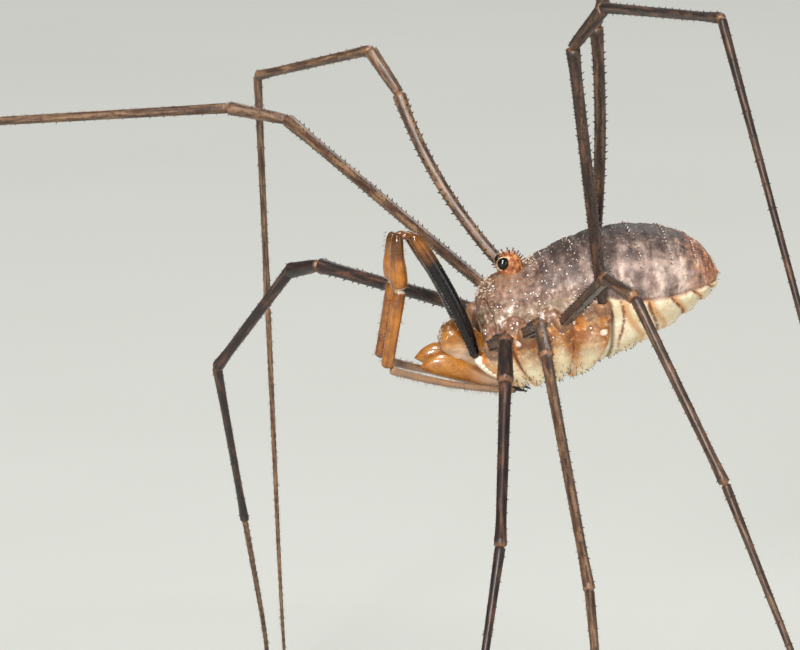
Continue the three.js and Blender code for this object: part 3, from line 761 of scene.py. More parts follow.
ROW_COUNT, ROW_BEHIND_FOLD = 24, 0.055
row_along, row_degrees = [], []
for fold in BACK_FOLDS[:-1]:
    row_degrees.append(np.linspace(25, 155, ROW_COUNT) + rng.uniform(-2, 2, ROW_COUNT))
    row_along.append(fold + ROW_BEHIND_FOLD + rng.uniform(-0.004, 0.004, ROW_COUNT))
back_rows = tubercles(np.concatenate(row_along), np.concatenate(row_degrees), 0.08, 0.03, 0.35)
LOOSE, MARGIN, BEHIND_EYES, GRANULES, BEADS_PER_HIP = 170, 70, 34, 110, 10
HIPS_ALONG = (0.13, 0.23, 0.35, 0.47)


def both_sides(nearest, farthest, count):
    """Random degrees round the trunk, so far from the middle of the back on either side."""
    return 90 + rng.choice([-1, 1], count) * rng.uniform(nearest, farthest, count)


loose = tubercles(rng.uniform(0.3, 0.9, LOOSE), rng.uniform(30, 150, LOOSE), 0.045, 0.02, 0.3)
margin = tubercles(rng.uniform(0.1, 0.2, MARGIN), rng.normal(90, 26, MARGIN), 0.085, 0.034, -0.5)
behind_eyes = tubercles(rng.uniform(0.315, 0.375, BEHIND_EYES), rng.normal(90, 16, BEHIND_EYES),
                        0.12, 0.03, -0.1)
granules = tubercles(rng.uniform(0.13, 0.5, GRANULES), both_sides(12, 80, GRANULES), 0.028, 0.028, 0.0, BEAD)
hip_along = np.concatenate([rng.normal(hip, 0.02, BEADS_PER_HIP) for hip in HIPS_ALONG])
hip_beads = tubercles(hip_along, both_sides(74, 112, len(hip_along)), 0.03, 0.036, 0.0, BEAD)

PEARLS = [[-3.24, 1.09, 0.17, 0.1], [-2.54, 1.4, 0.21, 0.11], [-2.05, 1.45, 0.42, 0.09],
          [-1.22, 1.56, 0.42, 0.09], [-0.01, 1.7, 0.5, 0.13], [-0.28, 1.58, -0.12, 0.13],
          [-1.0, 1.58, 0.3, 0.08], [-2.9, 1.25, 0.4, 0.08]]


def pearls(side):
    """Round swellings of soft white skin at the hips, each on the trunk point nearest its place."""
    sets = []
    for x, y, z, radius in PEARLS:
        gap = np.linalg.norm(trunk - [x, side * y, z], axis=-1)
        row, column = np.unravel_index(gap.argmin(), gap.shape)
        sets.append(ball(trunk[row, column] - trunk_normals[row, column] * radius * 0.25, radius, 14, 20))
    return joined(sets)


# %% Their finishes, and a finish for bristles


def foot_to_tip(name, waver, *stops, **sockets):
    """A finish of small forms: a ramp from foot to tip, wavering by some noise."""
    finish = Finish(name, **sockets)
    height = finish.mark("tip")
    if waver:
        height = height + (finish.noise(0.2) - 0.5) * waver
    finish.colour(finish.ramp(height, *stops))
    return finish.material


GLOSSY = {"Specular_IOR_Level": 0.6, "Roughness": 0.3}
horn = foot_to_tip("tubercle_tips", 0.6, (0.35, (104, 72, 58)), (0.7, (238, 232, 226)), **GLOSSY)
dark_tip = foot_to_tip("dark_tips", 0.2, (0.1, (120, 78, 52)), (0.5, (206, 186, 164)),
                       (0.75, (36, 20, 14)), **GLOSSY)
bristle = foot_to_tip("bristles", 0, (0.0, (22, 15, 12)), (1.0, (70, 52, 40)), Roughness=0.35)

make("back_tubercles", on_body(joined([back_rows, loose, granules, hip_beads])), horn)
white = Finish("soft_white_skin", Subsurface_Weight=0.3, Subsurface_Scale=0.0002, Specular_IOR_Level=0.6)
milk = white.noise(0.15, 3.0)
white.colour(white.ramp(milk.share(0.35, 0.65), (0.0, (196, 150, 118)), (0.5, (224, 200, 178)),
                        (1.0, (242, 230, 218))))
white.rough(0.22 + 0.2 * milk)
white.bump(milk, 0.01, 0.5)
both_hips = joined([pearls(side) for side in SIDES.values()])
make("hip_pearls", on_body(both_hips), white.material)
make("front_thorns", on_body(joined([margin, behind_eyes])), dark_tip)

# %% Bristles under the coxae
HAIRS_BELOW, HAIRS_ROUND = 420, 700
hair_along, hair_degrees = rng.uniform(0.14, 0.62, HAIRS_BELOW), rng.normal(270, 24, HAIRS_BELOW)
roots, ways = on_trunk(hair_along, hair_degrees)
ways = unit(ways + rng.normal(0, 0.25, ways.shape) + np.array([0.25, 0, -0.2]))
length = 0.12 * np.exp(-(((hair_along - 0.3) / 0.14) ** 2)) + 0.05
below = standing(HAIR, roots, ways, length * rng.uniform(0.6, 1.3, HAIRS_BELOW), 0.011)
roots, ways = on_trunk(rng.uniform(0.08, 0.98, HAIRS_ROUND), rng.uniform(0, 360, HAIRS_ROUND))
fuzz = standing(HAIR, roots, unit(ways + [0.5, 0, 0]), rng.uniform(0.04, 0.09, HAIRS_ROUND), 0.006)
make("belly_bristles", on_body(joined([below, fuzz])), bristle)

# %% [markdown]
# ## The eye mound
#
# The two eyes sit on one orange knob, the ocularium, and look sideways. Two rows of dark-tipped
# thorns stand over it with a furrow between them. It is a dome on a short neck, so its rings run from
# the top point down to a circle sunk in the carapace, and the furrow is a dip near the middle.

# %% Ocularium and its thorns
MOUND = {"x": -2.2, "z": 1.9, "length": 0.38, "width": 0.36, "height": 0.5}


def mound_point(polar, turn, grow=0.0):
    """A full dome, x^2.6 + z^2.6 = 1 in each upright section, with a furrow from front to back."""
    sideways, up = np.sin(polar), np.cos(polar)
    full = (np.abs(sideways) ** 2.6 + np.abs(up) ** 2.6) ** (-1 / 2.6)
    out = np.stack([sideways * np.cos(turn) * full * (MOUND["length"] + grow),
                    sideways * np.sin(turn) * full * (MOUND["width"] + grow),
                    up * full * (MOUND["height"] + grow)], -1)
    furrow = 0.035 * ridge_line(out[..., 1], 0.07) * smooth(0.1, 0.35, out[..., 2])
    return out * (1 - furrow[..., None] / MOUND["height"]) + np.array([MOUND["x"], 0, MOUND["z"]])


polar, turn = np.meshgrid(np.linspace(0.02, 2.3, 60), circle(72), indexing="ij")
dome = mound_point(polar, turn)
dome = dome + 0.006 * ripple(dome, 0.16, 9)[..., None] * unit(dome - [MOUND["x"], 0, MOUND["z"]])
mound_part = ring_part(dome, mound_point(0.0, 0.0), dome[-1].mean(0))
wax = Finish("eye_mound_wax", Subsurface_Weight=0.2, Subsurface_Scale=0.0002, Specular_IOR_Level=0.6)
grain = wax.noise(0.12, 3.0)
wax.colour(wax.ramp(grain.share(0.3, 0.7), (0.0, (84, 40, 20)), (0.55, (156, 88, 42)),
                    (1.0, (212, 156, 104))))
wax.rough(0.25 + 0.2 * grain)
wax.bump(grain, 0.01, 0.5)
make("eye_mound", on_body(mound_part), wax.material, ("ocularium",))

crest_turns = np.tile(np.radians(np.linspace(-72, 72, 8)), 2)
crest_side = np.repeat([-1.0, 1.0], 8)
roots = np.stack([np.sin(crest_turns) * MOUND["length"] * 1.02, crest_side * 0.15,
                  np.cos(crest_turns) ** 0.8 * MOUND["height"] * 0.97], -1)
ways = unit(roots * [1.6, 0.8, 1.0] + [-0.05, 0, 0])
roots = roots + [MOUND["x"], 0, MOUND["z"]]
crest = [standing(THORN, roots, ways, rng.uniform(0.1, 0.16, 16), 0.032)]
for fork in (-0.5, 0.5):
    start = roots + ways * 0.05
    crest.append(standing(THORN, start, ways + [fork, 0, 0], rng.uniform(0.06, 0.1, 16), 0.018))
fork_dark = foot_to_tip("fork_dark", 0.2, (0.0, (150, 84, 36)), (0.3, (70, 36, 20)),
                        (0.8, (22, 12, 9)), **GLOSSY)
make("eye_mound_thorns", on_body(joined(crest)), fork_dark)

# %% [markdown]
# ## The eyes
#
# Each eye is a black glassy ball set in a pale ring. The ball is a separate piece with its own gloss,
# and the ring is a thin rod closed round it.

# %% Eyeballs and rings
eye_black = Finish("eye_gloss", Roughness=0.05, Specular_IOR_Level=0.4, Coat_Weight=0.4,
                   Coat_Roughness=0.02)
deep = eye_black.noise(0.2, 2.0)
eye_black.colour(eye_black.mix(deep, (5, 3, 3), (22, 10, 8)))
rim = Finish("eye_rim", Subsurface_Weight=0.2, Subsurface_Scale=0.0002, Roughness=0.25)
rim.colour(rim.ramp(rim.noise(0.1), (0.3, (206, 140, 70)), (0.7, (248, 226, 180))))


def hoop(middle, radius, thickness, count=64, sides=12):
    """A torus round y: a small circle carried round a large one."""
    turn, small = np.meshgrid(circle(count), circle(sides), indexing="ij")
    out = radius + thickness * np.cos(small)
    grid = np.stack([out * np.cos(turn), thickness * np.sin(small), out * np.sin(turn)], -1)
    i, j = np.arange(count)[:, None], np.arange(sides)[None, :]
    far_i, far_j = (i + 1) % count, (j + 1) % sides
    quads = np.stack([i * sides + j, i * sides + far_j, far_i * sides + far_j, far_i * sides + j], -1)
    none = np.zeros((0, 3), int)
    points = (middle + grid).reshape(-1, 3)
    return outward({"points": points, "quads": quads.reshape(-1, 4), "tris": none, "marks": {}})


for name, side in SIDES.items():
    middle = np.array([EYE[0] - 0.015, side * 0.19, EYE[2]])
    make(f"eyeball_{name}", on_body(ball(middle, 0.2)), eye_black.material, (f"eye_{name}",))
    ring = hoop(middle + [0.015, side * 0.05, -0.015], 0.192, 0.026)
    make(f"eye_rim_{name}", on_body(ring), rim.material)

# %% [markdown]
# ## Glossy brown and black for palps and mouth claws
#
# Palps and mouth claws are the shiniest parts: amber to orange-brown, with brown streaks on the palps
# and a net of brown lines on the claws, and black on the palp's first long article. One function makes
# both finishes. The mark `dark` says where the black is, so that the change from black to amber can lie
# in the middle of an article. The clear coat is thinner on the black.

# %% Amber finish


def amber(name, light, deep_tone, net_size, rough, streaked):
    """Light and deep amber in clouds, a net of brown lines or brown streaks, then pale and dark marks."""
    finish = Finish(name, Subsurface_Weight=0.08, Subsurface_Scale=0.00012, Specular_IOR_Level=0.4,
                    Coat_Weight=0.5, Coat_Roughness=0.05)
    tone_noise = finish.noise(0.5, 4.0, 0.6)
    net = finish.cells(net_size, "DISTANCE_TO_EDGE")
    veins = (1 - net.share(0.02, 0.2)) * 0.5
    if streaked:
        veins = finish.grain(2.6, 0.16).share(0.44, 0.62)
    amber_tone = finish.over(light, (tone_noise.share(0.36, 0.66), deep_tone),
                             (veins * 0.5, (84, 36, 12)),
                             (finish.noise(0.1).share(0.62, 0.7) * 0.7, (110, 40, 14)),
                             (finish.mark("pale"), (246, 232, 208)))
    dark = finish.mark("dark")
    darkness = (dark + (finish.noise(0.3) - 0.5) * 0.5 * dark).share(0.15, 0.85)
    finish.colour(finish.mix(darkness, amber_tone, (9, 5, 5)))
    finish.feed("Coat Weight", 0.7 - darkness * 0.5)
    finish.rough(rough + 0.15 * tone_noise)
    finish.bump(1 - veins * 0.3 + finish.noise(0.08) * 0.3, 0.004, 0.4)
    return finish.material


palp_amber = amber("palp_amber", (176, 110, 28), (108, 54, 12), 0.14, 0.14, True)
claw_amber = amber("mouth_claw_amber", (176, 116, 38), (134, 76, 20), 0.09, 0.26, False)

# %% [markdown]
# ## Palps
#
# A palp has a thigh, a kneecap, a shin and a foot. It rises from the mouth, folds like a hairpin at
# the knee, comes down before the face and folds back again under the jaws. Each article is a rod of
# its own whose end sits inside the next one, with a pale ring of soft skin at the joint.

# %% Palp articles
PALP = {"hip": [-3.87, 0.9, -0.12], "hip_bow": [-3.92, 0.96, 1.7], "knee": [-4.74, 0.64, 3.86],
        "cap": [-5.1, 0.62, 3.98], "cap_bow": [-5.34, 0.62, 3.3], "shin": [-5.45, 0.62, 2.36],
        "shin_bow": [-5.86, 0.62, 1.4], "ankle": [-6.37, 0.62, 0.24], "foot": [-6.3, 0.62, 0.18],
        "foot_bow": [-4.72, 0.7, -0.84], "tip": [-2.95, 0.6, -1.44]}
FAR_KNEE_DROP = {"knee": 0.26, "cap": 0.26, "cap_bow": 0.1}
PALP_STEPS = 90
t = np.linspace(0, 1, PALP_STEPS)
PALP_ARTICLES = {
    "thigh": {"knots": ("hip", "hip_bow", "knee"), "form": (28, 3, 0.03), "hairs": (0.2, 110, 0.1),
              "girth": girth(PALP_STEPS, [0.13, 0.17, 0.2, 0.2, 0.2, 0.21, 0.16], 0.05), "pale": 0 * t,
              "dark": 0.4 + 0.6 * smooth(0.92, 0.66, t) + 0.2 * smooth(0.92, 1.0, t)},
    "cap": {"knots": ("cap", "cap_bow", "shin"), "form": (28, 2, 0.04), "hairs": (0.23, 90, 0.1),
            "girth": girth(PALP_STEPS, [0.12, 0.18, 0.2, 0.22, 0.26, 0.27, 0.24], 0.07),
            "pale": smooth(0.955, 0.985, t), "dark": 0.66 * smooth(0.75, 0.15, t)},
    "shin": {"knots": ("shin", "shin_bow", "ankle"), "form": (28, 2, 0.04), "hairs": (0.19, 140, 0.12),
             "girth": girth(PALP_STEPS, [0.18, 0.2, 0.19, 0.185, 0.185, 0.19], 0.05),
             "pale": smooth(0.045, 0.01, t),
             "dark": 0.3 * smooth(0.35, 0.0, t) + 0.4 * smooth(0.9, 1.0, t)},
    "foot": {"knots": ("foot", "foot_bow", "tip"), "form": (24, 2, 0.05), "hairs": (0.105, 420, 0.12),
             "girth": girth(PALP_STEPS, [0.13, 0.115, 0.105, 0.1, 0.095, 0.08], 0.02),
             "pale": 0.18 + 0 * t, "dark": 0.38 + 0.6 * smooth(0.96, 1.0, t)},
}


def palp_points(side):
    """The palp's points on one side. The far palp is folded a little lower at the knee."""
    drop = {key: FAR_KNEE_DROP.get(key, 0) * (side > 0) for key in PALP}
    return {key: np.array(value) * [1, side, 1] - [0, 0, drop[key]] for key, value in PALP.items()}


def palp_path(article, side):
    """The middle line of an article on one side, bent between its three knots."""
    at = palp_points(side)
    return bend(*(at[knot] for knot in PALP_ARTICLES[article]["knots"]), PALP_STEPS)


def palp_part(side):
    """Four rods and the soft rings between them, for one side."""
    at = palp_points(side)
    rods = [rod(palp_path(article, side), row["girth"], *row["form"], dark=row["dark"], pale=row["pale"])
            for article, row in PALP_ARTICLES.items()]
    bow = bend(at["knee"] + [0.05, 0, -0.14], at["knee"] + [-0.16, 0, 0.04], at["cap"] + [0, 0, -0.16], 24)
    elbow = rod(bow, girth(24, [0.08, 0.11, 0.08], 0.2), 20, dark=np.full(24, 0.5), pale=np.zeros(24))
    return joined(rods + [elbow, out_of_mouth(at["hip"], side)])


def out_of_mouth(hip, side):
    """The pale soft joint that the thigh stands on, from the coxa beside the mouth."""
    start, control = np.array([-3.08, 0.46 * side, -1.04]), np.array([-3.62, 0.72 * side, -0.62])
    path = bend(start, control, hip + [0.02, 0, 0.04], 40)
    lip = rod(path, girth(40, [0.13, 0.15, 0.15, 0.13], 0.12), 24, dark=np.zeros(40), pale=np.full(40, 0.9))
    bumps = [ball(path[i] + [-0.03, 0.11 * side, 0], 0.085, 14, 20) for i in range(3, 38, 5)]
    for bump in bumps:
        bump["marks"]["pale"] = np.full(len(bump["points"]), 1.0)
    return joined([lip] + bumps)


SUNK = 0.97


def beads_along(path, radii, count, angle, height, width, form, lean, spread, start, stop):
    """A row of forms along a rod, at an angle round it, leaning to its far end."""
    forward, side, above = frames(path)
    i = np.round(np.linspace(start, stop, count) * (len(path) - 1)).astype(int)
    turn = angle + rng.normal(0, 1, count) * spread
    out = side[i] * np.cos(turn)[:, None] + above[i] * np.sin(turn)[:, None]
    size = rng.uniform(0.75, 1.2, count)
    roots = path[i] + out * radii[i][:, None] * SUNK
    return standing(form, roots, out + forward[i] * lean, height * size, width * size)


def hairs_round(path, radii, count, span, lean, heights, width):
    """Hairs at random points of a rod within a span of its rings, leaning to its far end."""
    forward, across, above = frames(path)
    i = rng.integers(*span, count)
    turn = rng.uniform(0, 2 * np.pi, count)
    out = across[i] * np.cos(turn)[:, None] + above[i] * np.sin(turn)[:, None]
    roots = path[i] + out * np.broadcast_to(radii, len(path))[i][:, None] * SUNK
    return standing(HAIR, roots, out + forward[i] * lean, rng.uniform(*heights, count), width)


def palp_beads(side):
    """Rows of black beads on the thigh."""
    path, radii = palp_path("thigh", side), PALP_ARTICLES["thigh"]["girth"]
    part = joined([beads_along(path, radii, 28, turn, 0.04, 0.026, BEAD, 0.1, 0.05, 0.04, 0.72)
                   for turn in np.radians([0, 40, 140, 180, 220, 320])])
    part["marks"]["dark"] = np.ones(len(part["points"]))
    return part


def palp_hairs(side):
    """Short stiff hairs all round the four articles, densest on the foot."""
    sets = []
    for article, row in PALP_ARTICLES.items():
        radius, count, length = row["hairs"]
        sets.append(hairs_round(palp_path(article, side), radius, count, (3, PALP_STEPS - 2), 0.6,
                                (0.6 * length, 1.2 * length), 0.006))
    return joined(sets)


palp_hair = foot_to_tip("palp_hair", 0, (0.0, (96, 62, 40)), (1.0, (206, 176, 146)),
                        Roughness=0.3)
for name, side in SIDES.items():
    nodes = tuple(f"palp_{name}_{article}" for article in ("femur", "patella", "tibia", "tarsus"))
    make(f"palp_skin_{name}", on_body(palp_part(side)), palp_amber, nodes)
    make(f"palp_beads_{name}", on_body(palp_beads(side)), palp_amber)
    make(f"palp_hairs_{name}", on_body(palp_hairs(side)), palp_hair)

# %% [markdown]
# ## Mouth claws
#
# Each mouth claw has a knobbly base that reaches forward and a flat hand that hangs from it, with a
# blunt horn in front and two black fingers that close under the mouth. Base and hand are ovals between
# two outlines, as the trunk is, and the fingers are bent rods that taper to a point.

# %% Base, hand and fingers
CLAW_Y = 0.37
BASE_UPPER = [[-4.68, 0.5], [-4.55, 0.82], [-4.24, 1.02], [-3.88, 0.86], [-3.5, 0.4]]
BASE_LOWER = [[-4.68, 0.5], [-4.68, 0.2], [-4.4, -0.14], [-3.9, -0.5], [-3.4, -0.5]]
BASE_WIDTHS = [0, 0.27, 0.31, 0.3, 0.2]
HAND_UPPER = [[-5.46, -0.08], [-5.15, 0.12], [-4.73, 0.2], [-4.3, 0.0], [-3.75, -0.56], [-3.2, -1.08]]
HAND_LOWER = [[-5.46, -0.08], [-5.2, -0.33], [-4.72, -0.62], [-4.2, -0.92], [-3.7, -1.16], [-3.2, -1.27]]
HAND_WIDTHS = [0, 0.15, 0.26, 0.3, 0.24, 0.08]
BASE = (BASE_UPPER, BASE_LOWER, BASE_WIDTHS, 60, 56, 0.07, 4, 0.3)
HAND = (HAND_UPPER, HAND_LOWER, HAND_WIDTHS, 80, 64, 0.008, 6, 0.4)
CLAW_FINGERS = [
    ([-3.5, 0, -0.98], [-3.0, 0, -1.2], [-2.5, -0.08, -1.6], [0.13, 0.12, 0.09, 0.05, 0.02], 0.4),
    ([-3.6, 0, -1.1], [-3.1, 0, -1.36], [-2.62, -0.06, -1.64], [0.1, 0.1, 0.08, 0.05, 0.02], 0.3)]
FAR_HAND_LIFT, FAR_BASE_DROP = 0.12, 0.22
BASE_THORNS = 60


def lens(upper, lower, widths, rings, sides, lump, seed, size):
    """An oval between two outlines, with lumps of about the given size."""
    spread = 0.5 - 0.5 * np.cos(np.pi * np.linspace(0.02, 0.99, rings))
    t, a = np.meshgrid(spread, circle(sides), indexing="ij")
    grid = oval(upper, lower, widths, t, a)
    out = unit(grid - grid.mean(1, keepdims=True))
    grid = grid + out * (lump * ripple(grid, size, seed))[..., None]
    return grid, t


def mouth_claw(side):
    """Base, hand and two fingers."""
    base, _ = lens(*BASE)
    height = base[..., 2]
    base = base - [0, 0, FAR_BASE_DROP * (side > 0)]
    base_part = ring_part(base, base[0].mean(0), base[-1].mean(0), dark=0.5 * smooth(0.5, 0.95, height),
                          pale=0.3 * smooth(0.5, 0.1, height) * smooth(-3.6, -4.0, base[..., 0]))
    hand, t = lens(*HAND)
    hand = hand + [0, 0, FAR_HAND_LIFT * (side > 0)] * smooth(0.9, 0.2, t)[..., None]
    hand_part = ring_part(hand, hand[0].mean(0), hand[-1].mean(0), dark=0 * t,
                          pale=0.25 * smooth(0.6, 0.9, t))
    fingers = [rod(bend(root, bow, end, 40), girth(40, stations, 0.03), 18,
                   dark=np.linspace(root_dark, 1.2, 40), pale=np.zeros(40))
               for root, bow, end, stations, root_dark in CLAW_FINGERS]
    part = joined([base_part, hand_part] + fingers)
    part["points"] = (part["points"] + [0, CLAW_Y, 0]) * [1, side, 1]
    return outward(part)


for name, side in SIDES.items():
    nodes = (f"chelicera_base_{name}", f"chelicera_hand_{name}")
    make(f"mouth_claw_{name}", on_body(mouth_claw(side)), claw_amber, nodes)
    grid, _ = lens(*BASE)
    row, column = rng.integers(12, 48, BASE_THORNS), rng.integers(2, 27, BASE_THORNS)
    roots = (grid[row, column] + [0, CLAW_Y, -FAR_BASE_DROP * (side > 0)]) * [1, side, 1]
    ways = (grid[row, column] - grid[row].mean(1)) * [1, side, 1] + [-0.15, 0, 0.1]
    part = standing(THORN, roots, ways, rng.uniform(0.04, 0.09, BASE_THORNS), 0.022)
    make(f"mouth_claw_thorns_{name}", on_body(part), dark_tip)

# %% [markdown]
# ## Legs
#
# A harvestman walks on very long legs of seven pieces: hip joint, thigh, kneecap, shin, metatarsus and
# a foot of dozens of tiny rings. The joints' places follow from the hip, the direction of each
# article and its length, exactly as in the solids. The rods are as thin as the real ones, and each
# begins inside the one before.

# %% The pose
LENGTHS = [[5.4, 1.5, 5.2, 6.5, 11], [10.3, 1.9, 9.2, 10.5, 19],
           [7.3, 1.6, 6.0, 8.5, 15.5], [8.1, 1.8, 7.8, 12, 17]]
HIP_REACH = 0.4
POSE = {
    "right_1": {"turns": [[140, 13], [118, -12], [117, -40], [72, -54]], "foot": 110, "rise": 0.36},
    "right_2": {"turns": [[126, 26], [150, 8], [155, -5], [145, -58]], "foot": 135},
    "right_3": {"turns": [[134.6, 48.3], [134.6, 48], [118, -12], [80, -62]], "foot": 75, "swing": -2,
                "bow": [-0.4, 0, -0.2]},
    "right_4": {"turns": [[-96, 69], [-50, 70], [25, -4], [35, -66]], "foot": 30, "swing": 1.6,
                "bow": [0.19, 0, 0]},
    "left_1": {"turns": [[-94, 9], [-98, -40], [-100, -50], [-112, -58]], "foot": -125},
    "left_2": {"turns": [[-96, 9], [-93, -18], [-90, -32], [-92, -46]], "foot": -100},
    "left_3": {"turns": [[-89, 17], [-68, -12], [-60, -50], [-48, -62]], "foot": -40},
    "left_4": {"turns": [[-116, 69], [-59, 42], [-75, 3], [-64, -64]], "foot": -75},
}
ARTICLES = ("femur", "patella", "tibia", "metatarsus")


def heading(yaw, pitch):
    """Unit vector by its angle on the floor plan and its angle above the floor."""
    y, p = np.radians(yaw), np.radians(pitch)
    return np.array([np.cos(y) * np.cos(p), np.sin(y) * np.cos(p), np.sin(p)])


def joints_of(name, side, pair):
    """The hip joint and the far ends of the four articles, and their directions."""
    pose = POSE[f"{name}_{pair + 1}"]
    ways = [heading(*turn) for turn in pose["turns"]]
    flip = np.array([1, side, 1])
    outer, inner = out_of_body(COXA_OUTER[pair] * flip), out_of_body(COXA_INNER[pair] * flip)
    lean = unit(outer - inner) + ways[0] + [pose.get("swing", 0), 0, 0]
    places = [outer + unit(lean) * HIP_REACH]
    for way, length in zip(ways, LENGTHS[pair]):
        places.append(places[-1] + way * length)
    return outer, places, ways


# %% [markdown]
# ## The shape of one leg
#
# The thigh is slightly ridged and carries rows of short dark spines. Kneecaps are a little swollen.
# The foot keeps the direction of the metatarsus, bends over the floor and lies on it to its claw. A
# small wave of the radius makes its rings.

# %% Foot on the floor
FOOT_RADII = [0.085, 0.075, 0.065, 0.055, 0.045]
RING_LENGTH, RING_STEPS = 0.32, 7


def foot_path(ankle, way, yaw, length):
    """Straight, then a quadratic bend, then straight along the floor, as evenly spaced points."""
    height = FOOT_RADII[-1] * 0.8
    slope = (ankle[2] - height) / -way[2]
    touch = ankle + way * slope
    rest = length - slope
    flat = heading(yaw, 0)
    bend_start = ankle + (touch - ankle) * 0.45
    bend_end = touch + flat * rest * 0.45
    rough_path = np.concatenate([line(ankle, bend_start, 60)[:-1],
                                 bend(bend_start, touch, bend_end, 80)[:-1],
                                 line(bend_end, touch + flat * rest, 60)])
    gone = np.concatenate([[0], np.cumsum(np.linalg.norm(np.diff(rough_path, axis=0), axis=1))])
    count = int(gone[-1] / RING_LENGTH * RING_STEPS)
    even = np.linspace(0, gone[-1], count)
    return np.stack([np.interp(even, gone, rough_path[:, k]) for k in range(3)], -1)


def over_floor(part):
    """A part with each point that is under the floor lifted onto it."""
    part["points"][:, 2] = np.maximum(part["points"][:, 2], 0)
    return part


def foot_part(ankle, way, yaw, length, tone):
    """The foot's rings: the radius dips by a fifth between two of them. It is kept above the floor."""
    path = foot_path(ankle, way, yaw, length)
    t = np.linspace(0, 1, len(path))
    gone = t * length
    swell = np.abs(np.sin(np.pi * gone / RING_LENGTH)) ** 0.5
    radii = level(FOOT_RADII, t) * (0.88 + 0.22 * swell) * np.sqrt(np.clip(t / 0.01, 0.3, 1))
    joint = np.maximum(smooth(0.02, 0.0, t), 0.6 * (1 - swell))
    part = rod(path, radii, 10, tone=0 * t + tone, joint=joint)
    claw = rod(bend(path[-1], path[-1] + heading(yaw, 10) * 0.12, path[-1] + heading(yaw, -12) * 0.2, 12),
               np.linspace(0.03, 0.006, 12), 8, tone=np.ones(12), joint=np.zeros(12))
    return over_floor(joined([part, claw])), path, radii


# %% Thigh, kneecap, shin and metatarsus
GIRTHS = {"femur": [0.14, 0.16, 0.17, 0.165, 0.165, 0.165, 0.165, 0.165, 0.17, 0.205],
          "patella": [0.15, 0.17, 0.18, 0.19, 0.21], "metatarsus": [0.13, 0.11, 0.1, 0.095, 0.095, 0.12],
          "tibia": [0.16, 0.145, 0.14, 0.135, 0.135, 0.13, 0.13, 0.16]}
FIRST_PAIR_STOUTER = 1.15


def leg_rods(name, side, pair, tone):
    """All articles of one leg as rods, and the paths that spines and hairs stand on."""
    pose = POSE[f"{name}_{pair + 1}"]
    coxa_end, places, ways = joints_of(name, side, pair)
    bow = np.array(pose.get("bow", [0, 0, 0]))
    rise = np.array([0, 0, pose.get("rise", 0)])
    stout = FIRST_PAIR_STOUTER if pair == 0 else 1.0
    hip_end = places[0] + rise + ways[0] * 0.1
    hip = rod(bend(coxa_end, hip_end - ways[0] * 0.2, hip_end, 24),
              girth(24, [0.24, 0.27, 0.22], 0.2), 20, tone=np.zeros(24), joint=np.full(24, 0.7))
    parts, tracks = [hip], {}
    for i, article in enumerate(ARTICLES):
        start, end = places[i] - ways[i] * 0.05, places[i + 1] + ways[i] * 0.04
        count = int(12 + LENGTHS[pair][i] * 8)
        path = line(start, end, count)
        t = np.linspace(0, 1, count)
        if i == 0:
            path = path + (4 * t * (1 - t))[:, None] * bow + (1 - t)[:, None] * rise
        radii = girth(count, np.array(GIRTHS[article]) * stout, 0.12 / LENGTHS[pair][i])
        knuckle = smooth(0.12 / LENGTHS[pair][i], 0.0, np.minimum(t, 1 - t))
        parts.append(rod(path, radii, 20, 5, 0.035, tone=0 * t + tone, joint=knuckle))
        tracks[article] = (path, radii)
    part, path, radii = foot_part(places[4], ways[3], pose["foot"], LENGTHS[pair][4], tone * 0.6)
    tracks["tarsus"] = (path, radii)
    return joined(parts + [part]), tracks


# %% Spines and hairs of a leg
SPINE_SPACING = {"femur": 0.26, "patella": 0.3, "tibia": 0.42, "metatarsus": 0.7}
SPINE_ROWS, THIGH_SPINE, OTHER_SPINE = 5, (0.095, 0.028), (0.065, 0.018)
HAIRS_PER_MM = {"femur": 16, "patella": 20, "tibia": 22, "metatarsus": 24, "tarsus": 34}


def leg_spines(tracks, lengths):
    """Five rows of spines on the long articles, shorter towards the foot."""
    rows = []
    for (article, spacing), length in zip(SPINE_SPACING.items(), lengths):
        path, radii = tracks[article]
        size = THIGH_SPINE if article == "femur" else OTHER_SPINE
        for turn in circle(SPINE_ROWS):
            rows.append(beads_along(path, radii * 1.03, max(int(length / spacing), 2), turn, *size, THORN,
                                    0.7, 0.05, 0.05, 0.96))
    return joined(rows)


def leg_hairs(tracks, lengths):
    """Fine hairs all round, leaning to the foot."""
    sets = []
    for (article, density), length in zip(HAIRS_PER_MM.items(), lengths):
        path, radii = tracks[article]
        sets.append(hairs_round(path, radii, int(density * length), (1, len(path) - 1), 0.8,
                                (0.05, 0.11), 0.005))
    return over_floor(joined(sets))


# %% Leg finish
leg_skin = Finish("leg_cuticle", Subsurface_Weight=0.06, Subsurface_Scale=0.00015, Specular_IOR_Level=0.5,
                  Coat_Weight=0.1, Coat_Roughness=0.2)
patches = leg_skin.noise(0.7, 4.0, 0.65)
specks = leg_skin.noise(0.12, 3.0, 0.6)
flow = leg_skin.grain(0.8, 0.16).share(0.36, 0.64)
pale_leg = leg_skin.ramp(flow, (0.0, (70, 44, 30)), (0.5, (108, 78, 54)),
                         (1.0, (150, 116, 84)))
dark_leg = leg_skin.ramp(flow, (0.0, (18, 10, 9)), (0.6, (42, 25, 19)), (1.0, (86, 54, 36)))
leg_skin.colour(leg_skin.over(pale_leg, (leg_skin.mark("tone").share(0.0, 1.0), dark_leg),
                              (specks.share(0.55, 0.65) * 0.5, (34, 22, 18)),
                              (leg_skin.mark("joint") * 0.6, (178, 124, 84))))
leg_skin.rough(0.32 + 0.25 * patches)
leg_skin.bump(specks, 0.01, 0.5)
spine_dark = foot_to_tip("leg_spines", 0, (0.0, (58, 38, 28)), (1.0, (14, 8, 7)), **GLOSSY)

